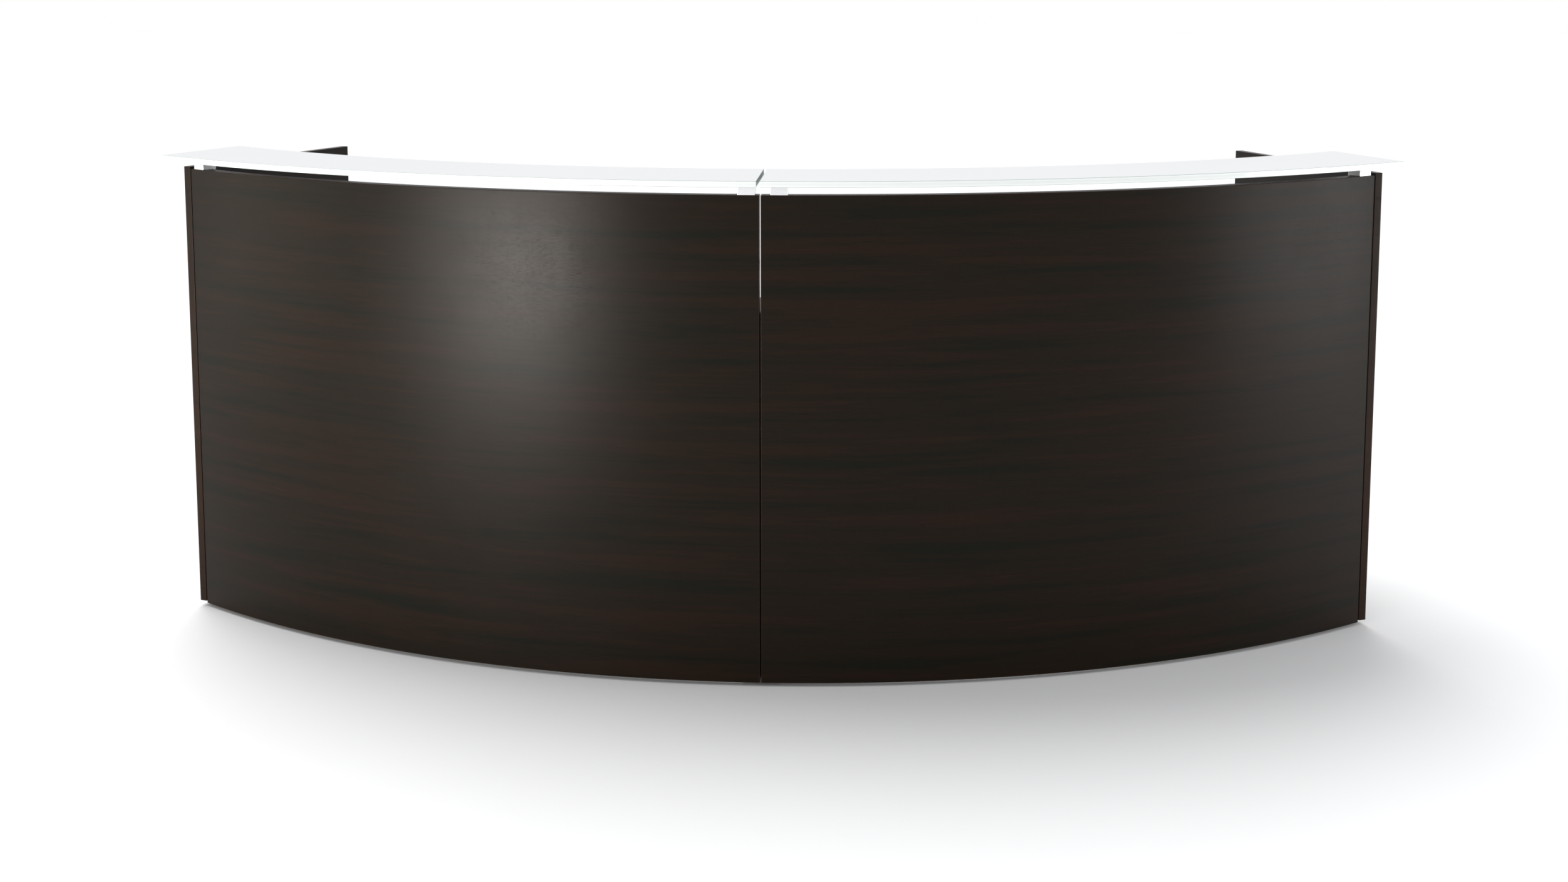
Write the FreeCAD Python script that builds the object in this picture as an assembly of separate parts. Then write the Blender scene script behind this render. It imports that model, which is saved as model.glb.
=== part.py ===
"""Curved checkout counter of two joined modules with a white glass top.

Millimetres, +Z up, customers on the -Y side, staff on the +Y side, X along the counter.
The origin is on the floor, in the middle of the counter's outline.
Plan shapes are drawn about the centre of the curved front, then moved back to the origin.
"""
import math
import os

import FreeCAD
import Part

V = FreeCAD.Vector
os.makedirs("parts", exist_ok=True)

# ---- driving dimensions -------------------------------------------------------------------
FACE_RADIUS = 2118.0          # customer face of the curved front panels
HALF_ANGLE = 39.0             # each module spans this angle from the seam, degrees
PANEL_THICKNESS = 28.0
PANEL_BOTTOM = 8.0
PANEL_TOP = 1032.0
SEAM_GAP = 2.7                # open joint between the two front panels

GABLE_TURN = 22.0             # the end gables turn inwards towards the rear, degrees
GABLE_LENGTH = 585.0
GABLE_THICKNESS = 18.0
GABLE_BOTTOM = 12.0
GABLE_TOP = 1037.0
REVEAL_WIDTH = 2.0            # shadow line between front panel and gable
REVEAL_DEPTH = 6.0

TOTAL_HEIGHT = 1067.0
GLASS_THICKNESS = 12.7
GLASS_OVERHANG = 62.0         # in front of the panel face
GLASS_DEPTH = 255.0
GLASS_GAP = 7.0               # between the two panes
GLASS_END_OVERHANG = 16.0     # beyond the outside of the gable
GLASS_REAR_CORNER = 12.0      # plan radius of the outer rear corner

WORKTOP_TOP = 737.0
WORKTOP_THICKNESS = 28.0
WORKTOP_REAR_RADIUS = 1590.0
WORKTOP_FIT = 0.5             # clearance to the panel, the gable and the other worktop

GROMMET_ANGLE = 19.5
GROMMET_RADIUS_PLACE = 1990.0
GROMMET_HOLE = 30.0
GROMMET_FIT = 0.1
GROMMET_FLANGE = 35.0
GROMMET_FLANGE_HEIGHT = 1.8
GROMMET_FLANGE_ROUNDING = 1.2
GROMMET_WALL = 2.2
GROMMET_LEDGE = 1.6           # how far the ledge under the cap stands in
GROMMET_LEDGE_HEIGHT = 1.0
CAP_CLEARANCE = 0.3
CAP_LIFT = 0.2                # between the cap and its ledge
CAP_THICKNESS = 3.0
CAP_ROUNDING = 0.8
CAP_SLOT = 12.0
CAP_SLOT_INSET = 8.0

SUPPORT_THICKNESS = 18.0      # inner uprights at the seam
SUPPORT_LENGTH = 432.0
BATTEN_WIDTH = 90.0
BATTEN_THICKNESS = 18.0
BATTEN_TOP = 787.0
BATTEN_SCREW_HEIGHTS = (80.0, 260.0, 440.0, 620.0, 765.0)
BATTEN_SCREW_ACROSS = 0.36    # share of the batten's width
BOLT_RADIUS = 3.5
BOLT_HEAD_RADIUS = 8.0
BOLT_HEAD_HEIGHT = 2.5
BOLT_SOCKET_RADIUS = 2.5
BOLT_SOCKET_DEPTH = 1.5
BOLT_REACH = 10.0             # into the left inner support
SLEEVE_LENGTH = 8.0
BOLT_HEIGHTS = (160.0, 600.0)
BOLT_FRONT_INSET = 110.0
BOLT_REAR_INSET = 90.0

STANDOFF_WIDTH = 36.0
STANDOFF_FOOT = 34.0          # front to back
STANDOFF_PLATE = 4.0          # leg down the back of the panel
STANDOFF_DROP = 48.0
STANDOFF_EDGE = 1.0
STANDOFF_LEG_STEP = 2.0       # from the top of the block down to the leg
STANDOFF_HOLE = 2.3
STANDOFF_HOLE_ACROSS = 0.5    # share of half the width
STANDOFF_HOLE_DOWN = 0.65     # share of the drop
PAD_THICKNESS = 1.3
PAD_INSET = 3.0
PAD_SETBACK = 0.1
SEAM_STANDOFF_LEFT = 10.0     # clear distance from the seam to the block
SEAM_STANDOFF_RIGHT = 21.0
END_STANDOFF_ANGLE = 38.15

BRACKET_ANGLES = (13.0, 26.5)
BRACKET_WIDTH = 38.0
BRACKET_STEEL = 4.0
BRACKET_DROP = 80.0
BRACKET_REACH = 150.0
BRACKET_WEB_REACH = 0.8       # shares of the reach and the drop
BRACKET_WEB_DROP = 0.9
BRACKET_SCREW_ACROSS = 0.55   # share of half the width
BRACKET_SCREW_DROP = 0.7
BRACKET_SCREW_REACH = 0.82

CLEAT_LEG = 30.0
CLEAT_STEEL = 2.5
CLEAT_LENGTH = 300.0
CLEAT_START = 150.0           # from the front end of the gable
SUPPORT_CLEAT_SETBACK = 60.0  # from the front edge of the inner support
CLEAT_SCREW_INSET = 30.0      # first and last screw, from the ends of the cleat
CLEAT_SCREW_ACROSS = 0.6      # share of the leg's width
CLEAT_SCREW_STAGGER = 12.0    # between the screws of the two legs

CORNER_BLOCK = 38.0
CORNER_LENGTH = 75.0
CORNER_GAP = 4.0              # to the worktop
CORNER_RAISE = 8.0            # from the bottom of the gable
CORNER_DROP = 60.0            # from the top of the panel

SCREW_HEAD_RADIUS = 4.0
SCREW_HEAD_HEIGHT = 2.2
SCREW_HEAD_ROUNDING = 0.45    # share of the head's height
SCREW_SHANK_RADIUS = 2.0
SCREW_SOCKET_RADIUS = 1.6
SCREW_SOCKET_DEPTH = 1.4
BATTEN_SCREW = 36.0           # screw lengths below the head
STANDOFF_SCREW = 22.0
BRACKET_SCREW = 18.0
CLEAT_SHELF_SCREW = 16.0
CLEAT_WALL_SCREW = 12.0

EDGE = 0.8                    # eased edges of boards and glass
PAST = 1.0                    # how far a cutting shape runs past the surface it cuts
SHORTEST_UPRIGHT = 5.0

# Blanks are drawn larger than the boards and cut back to the module's outline.
BLANK_START = -2.0            # degrees
PANEL_BLANK_END = HALF_ANGLE + 4.0
GLASS_BLANK_END = HALF_ANGLE + 6.0
WORKTOP_BLANK_END = HALF_ANGLE + 9.0
OUTLINE_FRONT = -2600.0
OUTLINE_REAR = -400.0
OUTLINE_BEFORE_GABLE = 1100.0
OUTLINE_BEHIND_GABLE = 900.0
REVEAL_TOOL = 40.0

GLIDE_STUD_RADIUS = 4.0
GLIDE_STUD_TOP = 46.0
GLIDE_INSERT_RADIUS = 6.0
GLIDE_INSERT_LENGTH = 22.0
GLIDE_FOOT_RADIUS = 13.0
GLIDE_FOOT_HEIGHT = 5.0
GLIDE_HEX = 13.0              # across flats
GLIDE_INSET = 45.0            # from the ends of the upright it carries
GLIDE_STAGGER = 26.0          # between the glides of the two inner supports
GLIDE_NUT_HEIGHT = 4.5
GLIDE_NUT_GAP = 0.2           # between the foot and the nut over it
GLIDE_FOOT_FLOOR = 2.0        # plastic left under the stud
GLIDE_STUD_START = 2.2
GLIDE_FOOT_ROUNDING = 2.0
GLIDE_STUD_CHAMFER = 1.0
STUD_CLEARANCE = 0.05
BORE_CLEARANCE = 0.6

# ---- derived values -----------------------------------------------------------------------
PANEL_BACK = FACE_RADIUS - PANEL_THICKNESS
GLASS_FRONT = FACE_RADIUS + GLASS_OVERHANG
GLASS_REAR = GLASS_FRONT - GLASS_DEPTH
GLASS_BOTTOM = TOTAL_HEIGHT - GLASS_THICKNESS
BLOCK_TOP = GLASS_BOTTOM - PAD_THICKNESS
WORKTOP_BOTTOM = WORKTOP_TOP - WORKTOP_THICKNESS
SUPPORT_FRONT = -math.sqrt(PANEL_BACK ** 2 - (BATTEN_WIDTH / 2.0) ** 2) + BATTEN_THICKNESS
SUPPORT_CLEAT_START = SUPPORT_FRONT + SUPPORT_CLEAT_SETBACK
CLEAT_SCREWS = (CLEAT_SCREW_INSET, CLEAT_LENGTH / 2.0, CLEAT_LENGTH - CLEAT_SCREW_INSET)
HALF_STANDOFF = STANDOFF_WIDTH / 2.0
UP = V(0, 0, 1)

# Each standoff: its name, its angle from the seam, and its shift sideways from that angle.
STANDOFFS = (
    ("seam_standoff_left", 0.0, -(SEAM_STANDOFF_LEFT + HALF_STANDOFF)),
    ("seam_standoff_right", 0.0, SEAM_STANDOFF_RIGHT + HALF_STANDOFF),
    ("end_standoff_left", -END_STANDOFF_ANGLE, 0.0),
    ("end_standoff_right", END_STANDOFF_ANGLE, 0.0),
)
# Each side: its name, the sign of its X, and how far its inner glides stand back.
SIDES = (("right", 1, 0.0), ("left", -1, GLIDE_STAGGER))

TURN = math.radians(GABLE_TURN)
GABLE_BACKWARDS = V(-math.sin(TURN), math.cos(TURN), 0)
GABLE_OUTWARDS = V(math.cos(TURN), math.sin(TURN), 0)


def on_arc(radius, degrees, z=0.0):
    """A point on a circle about the front's centre; the seam is at 0 degrees."""
    angle = math.radians(degrees)
    return V(radius * math.sin(angle), -radius * math.cos(angle), z)


GROMMET_PLACE = on_arc(GROMMET_RADIUS_PLACE, GROMMET_ANGLE)
FACE_END = on_arc(FACE_RADIUS, HALF_ANGLE)
GABLE_CORNER = FACE_END + GABLE_OUTWARDS * REVEAL_WIDTH


def gable_point(along, outwards, z=0.0):
    """A point measured from the gable's inner front corner."""
    return GABLE_CORNER + GABLE_BACKWARDS * along + GABLE_OUTWARDS * outwards + V(0, 0, z)


REAR_Y = gable_point(GABLE_LENGTH, GABLE_THICKNESS).y
CENTRE_SHIFT = V(0, (GLASS_FRONT - REAR_Y) / 2.0, 0)


# ---- shape helpers ------------------------------------------------------------------------
def prism(points, bottom, top):
    flat = [V(p.x, p.y, bottom) for p in points]
    wire = Part.makePolygon(flat + [flat[0]])
    return Part.Face(wire).extrude(V(0, 0, top - bottom))


def sector(outer, inner, start, end, bottom, top):
    middle = (start + end) / 2.0
    edges = [
        Part.Arc(on_arc(outer, start), on_arc(outer, middle), on_arc(outer, end)).toShape(),
        Part.LineSegment(on_arc(outer, end), on_arc(inner, end)).toShape(),
        Part.Arc(on_arc(inner, end), on_arc(inner, middle), on_arc(inner, start)).toShape(),
        Part.LineSegment(on_arc(inner, start), on_arc(outer, start)).toShape(),
    ]
    face = Part.Face(Part.Wire(edges))
    face.translate(V(0, 0, bottom))
    return face.extrude(V(0, 0, top - bottom))


def module_space(seam_side, outwards, bottom, top):
    """Everything between the seam plane and a plane parallel to the gable's inner face."""
    points = [
        V(seam_side, OUTLINE_FRONT, 0),
        gable_point(-OUTLINE_BEFORE_GABLE, outwards),
        gable_point(OUTLINE_BEHIND_GABLE, outwards),
        V(seam_side, OUTLINE_REAR, 0),
    ]
    return prism(points, bottom, top)


def mirrored(shape):
    return shape.mirror(V(0, 0, 0), V(1, 0, 0))


def turned(shape, degrees):
    """Turn a shape drawn at the seam to its place on the arc."""
    copy = shape.copy()
    copy.rotate(V(0, 0, 0), V(0, 0, 1), degrees)
    return copy


def box(x0, x1, y0, y1, z0, z1):
    return Part.makeBox(x1 - x0, y1 - y0, z1 - z0, V(x0, y0, z0))


def rod(radius, start, direction, length):
    return Part.makeCylinder(radius, length, start, direction)


def hexagon(across_flats, centre, bottom, top):
    corner = across_flats / math.sqrt(3.0)
    points = [
        V(centre.x + corner * math.cos(math.radians(60 * i)),
          centre.y + corner * math.sin(math.radians(60 * i)), 0)
        for i in range(6)
    ]
    return prism(points, bottom, top)


def ease_all(shape, size=EDGE):
    return shape.makeChamfer(size, shape.Edges)


def ease_edges(shape, wanted, size=EDGE):
    return shape.makeChamfer(size, [edge for edge in shape.Edges if wanted(edge)])


def is_upright(edge):
    low, high = edge.BoundBox.ZMin, edge.BoundBox.ZMax
    return high - low > SHORTEST_UPRIGHT and edge.BoundBox.DiagonalLength - (high - low) < 0.01


def is_round(edge):
    """A circle, as against the short seam line of a round solid."""
    return isinstance(edge.Curve, Part.Circle)


def screw(head_centre, into, length):
    """A pan-head wood screw; its head sits on the surface at head_centre."""
    head = rod(SCREW_HEAD_RADIUS, head_centre, into * -1, SCREW_HEAD_HEIGHT)
    rim = [edge for edge in head.Edges if is_round(edge)
           and (head_centre - edge.CenterOfMass).dot(into) > SCREW_HEAD_HEIGHT / 2.0]
    head = head.makeFillet(SCREW_HEAD_HEIGHT * SCREW_HEAD_ROUNDING, rim)
    socket = rod(SCREW_SOCKET_RADIUS, head_centre - into * SCREW_HEAD_HEIGHT, into,
                 SCREW_SOCKET_DEPTH)
    shank = rod(SCREW_SHANK_RADIUS, head_centre, into, length)
    return head.cut(socket).fuse(shank).removeSplitter()


# ---- boards -------------------------------------------------------------------------------
def front_panel():
    blank = sector(FACE_RADIUS, PANEL_BACK, BLANK_START, PANEL_BLANK_END,
                   PANEL_BOTTOM, PANEL_TOP)
    panel = blank.common(module_space(SEAM_GAP / 2.0, 0, PANEL_BOTTOM - PAST, PANEL_TOP + PAST))
    panel = ease_edges(panel, lambda edge: not is_upright(edge)
                       or edge.CenterOfMass.x < PANEL_THICKNESS)
    reveal = prism([gable_point(-REVEAL_TOOL, PAST), gable_point(-REVEAL_TOOL, -REVEAL_WIDTH),
                    gable_point(REVEAL_DEPTH, -REVEAL_WIDTH), gable_point(REVEAL_DEPTH, PAST)],
                   PANEL_BOTTOM - PAST, PANEL_TOP + PAST)
    return panel.cut(reveal)


def drilled_for_glides(board, places):
    """Bore an upright from below for each threaded insert and the stud above it."""
    for place in places:
        bottom = V(place.x, place.y, GABLE_BOTTOM)
        board = board.cut(rod(GLIDE_INSERT_RADIUS, bottom - UP * PAST, UP,
                              GLIDE_INSERT_LENGTH + PAST))
        board = board.cut(rod(GLIDE_STUD_RADIUS + BORE_CLEARANCE, bottom, UP, GLIDE_STUD_TOP))
    return board


def gable():
    board = prism([gable_point(0, 0), gable_point(0, GABLE_THICKNESS),
                   gable_point(GABLE_LENGTH, GABLE_THICKNESS), gable_point(GABLE_LENGTH, 0)],
                  GABLE_BOTTOM, GABLE_TOP)
    board = ease_all(board)
    return drilled_for_glides(board, gable_glide_places())


def gable_glide_places():
    middle = GABLE_THICKNESS / 2.0
    return [gable_point(GLIDE_INSET, middle), gable_point(GABLE_LENGTH - GLIDE_INSET, middle)]


def support_glide_places(stagger):
    """Glides under an inner support; the left one's stand further back to clear the right's."""
    middle = SUPPORT_THICKNESS / 2.0
    return [V(middle, SUPPORT_FRONT + GLIDE_INSET + stagger, 0),
            V(middle, SUPPORT_FRONT + SUPPORT_LENGTH - GLIDE_INSET - GLIDE_STAGGER + stagger, 0)]


def inner_support(stagger):
    board = box(0, SUPPORT_THICKNESS, SUPPORT_FRONT, SUPPORT_FRONT + SUPPORT_LENGTH,
                GABLE_BOTTOM, WORKTOP_BOTTOM)
    board = drilled_for_glides(board, support_glide_places(stagger))
    for bolt in joining_places():
        board = board.cut(rod(BOLT_RADIUS, bolt - V(PAST, 0, 0), V(1, 0, 0),
                              SUPPORT_THICKNESS + 2 * PAST))
    return board


def seam_batten():
    return box(-BATTEN_WIDTH / 2.0, BATTEN_WIDTH / 2.0, SUPPORT_FRONT - BATTEN_THICKNESS,
               SUPPORT_FRONT, GABLE_BOTTOM, BATTEN_TOP)


def worktop():
    blank = sector(PANEL_BACK - WORKTOP_FIT, WORKTOP_REAR_RADIUS, BLANK_START,
                   WORKTOP_BLANK_END, WORKTOP_BOTTOM, WORKTOP_TOP)
    board = blank.common(module_space(WORKTOP_FIT, -WORKTOP_FIT, 0, TOTAL_HEIGHT))
    notch = box(-PAST, BATTEN_WIDTH / 2.0 + WORKTOP_FIT, -PANEL_BACK - PAST,
                SUPPORT_FRONT + WORKTOP_FIT, WORKTOP_BOTTOM - PAST, WORKTOP_TOP + PAST)
    board = ease_all(board).cut(notch)
    return board.cut(rod(GROMMET_HOLE, GROMMET_PLACE + UP * (WORKTOP_BOTTOM - PAST), UP,
                         WORKTOP_THICKNESS + 2 * PAST))


def corner_blocks():
    """Glued timber blocks in the corner of panel and gable, below and above the worktop."""
    spans = ((GABLE_BOTTOM + CORNER_RAISE, WORKTOP_BOTTOM - CORNER_GAP),
             (WORKTOP_TOP + CORNER_GAP, PANEL_TOP - CORNER_DROP))
    inside = Part.makeCylinder(PANEL_BACK, TOTAL_HEIGHT)
    outline = [gable_point(0, 0), gable_point(CORNER_LENGTH, 0),
               gable_point(CORNER_LENGTH, -CORNER_BLOCK), gable_point(0, -CORNER_BLOCK)]
    solids = [prism(outline, low, high).common(inside) for low, high in spans]
    return Part.makeCompound(solids)


# ---- glass and its standoffs --------------------------------------------------------------
def glass_pane():
    blank = sector(GLASS_FRONT, GLASS_REAR, BLANK_START, GLASS_BLANK_END,
                   GLASS_BOTTOM, TOTAL_HEIGHT)
    pane = blank.common(module_space(GLASS_GAP / 2.0, GABLE_THICKNESS + GLASS_END_OVERHANG,
                                     0, TOTAL_HEIGHT + PAST))
    rear_corner = [edge for edge in pane.Edges if is_upright(edge)
                   and edge.CenterOfMass.x > GLASS_GAP
                   and math.hypot(edge.CenterOfMass.x, edge.CenterOfMass.y) < GLASS_REAR + PAST]
    pane = pane.makeFillet(GLASS_REAR_CORNER, rear_corner)
    return ease_all(pane)


STANDOFF_SAGITTA = FACE_RADIUS - math.sqrt(FACE_RADIUS ** 2 - HALF_STANDOFF ** 2)
STANDOFF_REAR = -PANEL_BACK + STANDOFF_PLATE + STANDOFF_SAGITTA


def standoff_turn(degrees, sideways):
    """The angle of a standoff whose middle stands sideways from the radius at an angle."""
    return degrees + math.degrees(math.asin(sideways / FACE_RADIUS))


def standoff_holes():
    """The two screw places on the back of the leg, drawn at the seam."""
    across = HALF_STANDOFF * STANDOFF_HOLE_ACROSS
    height = PANEL_TOP - STANDOFF_DROP * STANDOFF_HOLE_DOWN
    return [V(-across, STANDOFF_REAR, height), V(across, STANDOFF_REAR, height)]


def standoff(degrees, sideways):
    """A block on the panel's top edge with a leg down its back."""
    front = -FACE_RADIUS + STANDOFF_SAGITTA
    block = box(-HALF_STANDOFF, HALF_STANDOFF, front, front + STANDOFF_FOOT,
                PANEL_TOP, BLOCK_TOP)
    block = ease_all(block, STANDOFF_EDGE)
    leg = box(-HALF_STANDOFF, HALF_STANDOFF, STANDOFF_REAR - STANDOFF_PLATE, STANDOFF_REAR,
              PANEL_TOP - STANDOFF_DROP, BLOCK_TOP - STANDOFF_LEG_STEP)
    body = block.fuse(leg).removeSplitter()
    for hole in standoff_holes():
        body = body.cut(rod(STANDOFF_HOLE, hole + V(0, PAST, 0), V(0, -1, 0),
                            STANDOFF_PLATE + 2 * PAST))
    return turned(body, standoff_turn(degrees, sideways))


def standoff_screws(degrees, sideways):
    angle = standoff_turn(degrees, sideways)
    return [turned(screw(head, V(0, -1, 0), STANDOFF_SCREW), angle) for head in standoff_holes()]


def glass_pad(degrees, sideways):
    half = HALF_STANDOFF - PAD_INSET
    front = -FACE_RADIUS + PAD_INSET + PAD_SETBACK
    pad = box(-half, half, front, front + STANDOFF_FOOT - 2 * PAD_INSET, BLOCK_TOP, GLASS_BOTTOM)
    return turned(pad, standoff_turn(degrees, sideways))


# ---- metal brackets -----------------------------------------------------------------------
def worktop_bracket(degrees):
    """A steel angle: one leg on the back of the front panel, one under the worktop."""
    half = BRACKET_WIDTH / 2.0
    back = -math.sqrt(PANEL_BACK ** 2 - half ** 2)
    upright = box(-half, half, back, back + BRACKET_STEEL,
                  WORKTOP_BOTTOM - BRACKET_DROP, WORKTOP_BOTTOM)
    shelf = box(-half, half, back, back + BRACKET_REACH,
                WORKTOP_BOTTOM - BRACKET_STEEL, WORKTOP_BOTTOM)
    web_points = [V(0, back + BRACKET_STEEL, WORKTOP_BOTTOM - BRACKET_STEEL),
                  V(0, back + BRACKET_REACH * BRACKET_WEB_REACH, WORKTOP_BOTTOM - BRACKET_STEEL),
                  V(0, back + BRACKET_STEEL, WORKTOP_BOTTOM - BRACKET_DROP * BRACKET_WEB_DROP)]
    web_face = Part.Face(Part.makePolygon(web_points + [web_points[0]]))
    web_face.translate(V(-BRACKET_STEEL / 2.0, 0, 0))
    web = web_face.extrude(V(BRACKET_STEEL, 0, 0))
    return turned(upright.fuse([shelf, web]).removeSplitter(), degrees)


def worktop_bracket_screws(degrees):
    half = BRACKET_WIDTH / 2.0
    back = -math.sqrt(PANEL_BACK ** 2 - half ** 2) + BRACKET_STEEL
    across = half * BRACKET_SCREW_ACROSS
    screws = []
    for side in (-1, 1):
        low = V(side * across, back, WORKTOP_BOTTOM - BRACKET_DROP * BRACKET_SCREW_DROP)
        screws.append(turned(screw(low, V(0, -1, 0), BRACKET_SCREW), degrees))
        far = V(side * across, back + BRACKET_REACH * BRACKET_SCREW_REACH,
                WORKTOP_BOTTOM - BRACKET_STEEL)
        screws.append(turned(screw(far, UP, BRACKET_SCREW), degrees))
    return screws


def angle_strip(length):
    """A folded steel angle along +Y, its corner at the origin, its legs along -X and -Z."""
    shelf = box(-CLEAT_LEG, 0, 0, length, -CLEAT_STEEL, 0)
    wall = box(-CLEAT_STEEL, 0, 0, length, -CLEAT_LEG, 0)
    return shelf.fuse(wall).removeSplitter()


def gable_cleat():
    strip = angle_strip(CLEAT_LENGTH)
    strip.rotate(V(0, 0, 0), V(0, 0, 1), GABLE_TURN)
    strip.translate(gable_point(CLEAT_START, 0, WORKTOP_BOTTOM))
    return strip


def gable_cleat_screws():
    across = CLEAT_LEG * CLEAT_SCREW_ACROSS
    solids = []
    for along in CLEAT_SCREWS:
        wall = gable_point(CLEAT_START + along, -CLEAT_STEEL, WORKTOP_BOTTOM - across)
        solids.append(screw(wall, GABLE_OUTWARDS, CLEAT_WALL_SCREW))
        under = gable_point(CLEAT_START + along + CLEAT_SCREW_STAGGER, -across,
                            WORKTOP_BOTTOM - CLEAT_STEEL)
        solids.append(screw(under, UP, CLEAT_SHELF_SCREW))
    return solids


def support_cleat():
    strip = mirrored(angle_strip(CLEAT_LENGTH))
    strip.translate(V(SUPPORT_THICKNESS, SUPPORT_CLEAT_START, WORKTOP_BOTTOM))
    return strip


def support_cleat_screws():
    across = CLEAT_LEG * CLEAT_SCREW_ACROSS
    solids = []
    for along in CLEAT_SCREWS:
        wall = V(SUPPORT_THICKNESS + CLEAT_STEEL, SUPPORT_CLEAT_START + along,
                 WORKTOP_BOTTOM - across)
        solids.append(screw(wall, V(-1, 0, 0), CLEAT_WALL_SCREW))
        under = V(SUPPORT_THICKNESS + across, SUPPORT_CLEAT_START + along + CLEAT_SCREW_STAGGER,
                  WORKTOP_BOTTOM - CLEAT_STEEL)
        solids.append(screw(under, UP, CLEAT_SHELF_SCREW))
    return solids


# ---- joining hardware ---------------------------------------------------------------------
def joining_places():
    front = SUPPORT_FRONT + BOLT_FRONT_INSET
    rear = SUPPORT_FRONT + SUPPORT_LENGTH - BOLT_REAR_INSET
    return [V(0, y, z) for z in BOLT_HEIGHTS for y in (front, rear)]


def joining_bolts():
    """Connector bolts through both inner supports, heads on the right."""
    solids = []
    for place in joining_places():
        head = rod(BOLT_HEAD_RADIUS, place + V(SUPPORT_THICKNESS, 0, 0), V(1, 0, 0),
                   BOLT_HEAD_HEIGHT)
        socket = rod(BOLT_SOCKET_RADIUS, place + V(SUPPORT_THICKNESS + BOLT_HEAD_HEIGHT, 0, 0),
                     V(-1, 0, 0), BOLT_SOCKET_DEPTH)
        shank = rod(BOLT_RADIUS, place - V(BOLT_REACH, 0, 0), V(1, 0, 0),
                    SUPPORT_THICKNESS + BOLT_REACH)
        solids.append(head.fuse(shank).removeSplitter().cut(socket))
    return Part.makeCompound(solids)


def joining_sleeves():
    solids = []
    for place in joining_places():
        head = rod(BOLT_HEAD_RADIUS, place - V(SUPPORT_THICKNESS, 0, 0), V(-1, 0, 0),
                   BOLT_HEAD_HEIGHT)
        barrel = rod(BOLT_RADIUS, place - V(SUPPORT_THICKNESS, 0, 0), V(1, 0, 0),
                     SLEEVE_LENGTH)
        socket = rod(BOLT_SOCKET_RADIUS, place - V(SUPPORT_THICKNESS + BOLT_HEAD_HEIGHT, 0, 0),
                     V(1, 0, 0), BOLT_SOCKET_DEPTH)
        solids.append(head.fuse(barrel).removeSplitter().cut(socket))
    return Part.makeCompound(solids)


def batten_screws():
    across = BATTEN_WIDTH * BATTEN_SCREW_ACROSS
    heads = [V(x, SUPPORT_FRONT, z) for z in BATTEN_SCREW_HEIGHTS for x in (-across, across)]
    return Part.makeCompound([screw(head, V(0, -1, 0), BATTEN_SCREW) for head in heads])


# ---- cable grommets -----------------------------------------------------------------------
def grommet_ring():
    """A barrel through the worktop, a flange on top, and a ledge inside for the cap."""
    top = WORKTOP_TOP + GROMMET_FLANGE_HEIGHT
    ledge_top = top - CAP_THICKNESS - CAP_LIFT
    ledge_bottom = ledge_top - GROMMET_LEDGE_HEIGHT
    below = GROMMET_PLACE + UP * (WORKTOP_BOTTOM - PAST)
    barrel = rod(GROMMET_HOLE - GROMMET_FIT, GROMMET_PLACE + UP * WORKTOP_BOTTOM, UP,
                 WORKTOP_THICKNESS)
    flange = rod(GROMMET_FLANGE, GROMMET_PLACE + UP * WORKTOP_TOP, UP, GROMMET_FLANGE_HEIGHT)
    outer_rim = [edge for edge in flange.Edges
                 if is_round(edge) and edge.CenterOfMass.z > WORKTOP_TOP + PAST]
    body = barrel.fuse(flange.makeFillet(GROMMET_FLANGE_ROUNDING, outer_rim))
    inner = GROMMET_HOLE - GROMMET_WALL
    body = body.cut(rod(inner - GROMMET_LEDGE, below, UP, top - WORKTOP_BOTTOM + 2 * PAST))
    body = body.cut(rod(inner, GROMMET_PLACE + UP * ledge_top, UP, top - ledge_top + PAST))
    body = body.cut(rod(inner, below, UP, ledge_bottom - WORKTOP_BOTTOM + PAST))
    return body.removeSplitter()


def grommet_cap():
    """A disc that drops into the ring, with a cable slot open at its rear edge."""
    inner = GROMMET_HOLE - GROMMET_WALL
    bottom = WORKTOP_TOP + GROMMET_FLANGE_HEIGHT - CAP_THICKNESS
    disc = rod(inner - CAP_CLEARANCE, GROMMET_PLACE + UP * bottom, UP, CAP_THICKNESS)
    rim = [edge for edge in disc.Edges if is_round(edge) and edge.CenterOfMass.z > bottom + PAST]
    disc = disc.makeFillet(CAP_ROUNDING, rim)
    middle = GROMMET_PLACE + V(0, inner - CAP_SLOT_INSET, bottom - PAST)
    slot = rod(CAP_SLOT, middle, UP, CAP_THICKNESS + 2 * PAST)
    slot = slot.fuse(box(middle.x - CAP_SLOT, middle.x + CAP_SLOT, middle.y, middle.y + inner,
                         bottom - PAST, bottom + CAP_THICKNESS + PAST))
    return disc.cut(slot)


# ---- levelling glides ---------------------------------------------------------------------
def glide_insert(place):
    base = V(place.x, place.y, GABLE_BOTTOM)
    sleeve = rod(GLIDE_INSERT_RADIUS, base, UP, GLIDE_INSERT_LENGTH)
    return sleeve.cut(rod(GLIDE_STUD_RADIUS + STUD_CLEARANCE, base - UP * PAST, UP,
                          GLIDE_INSERT_LENGTH + 2 * PAST))


def glide_foot(place):
    base = V(place.x, place.y, 0)
    foot = rod(GLIDE_FOOT_RADIUS, base, UP, GLIDE_FOOT_HEIGHT)
    top_rim = [edge for edge in foot.Edges
               if is_round(edge) and edge.CenterOfMass.z > GLIDE_FOOT_HEIGHT / 2.0]
    foot = foot.makeFillet(GLIDE_FOOT_ROUNDING, top_rim)
    return foot.cut(rod(GLIDE_STUD_RADIUS + STUD_CLEARANCE, base + UP * GLIDE_FOOT_FLOOR, UP,
                        GLIDE_FOOT_HEIGHT))


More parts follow.
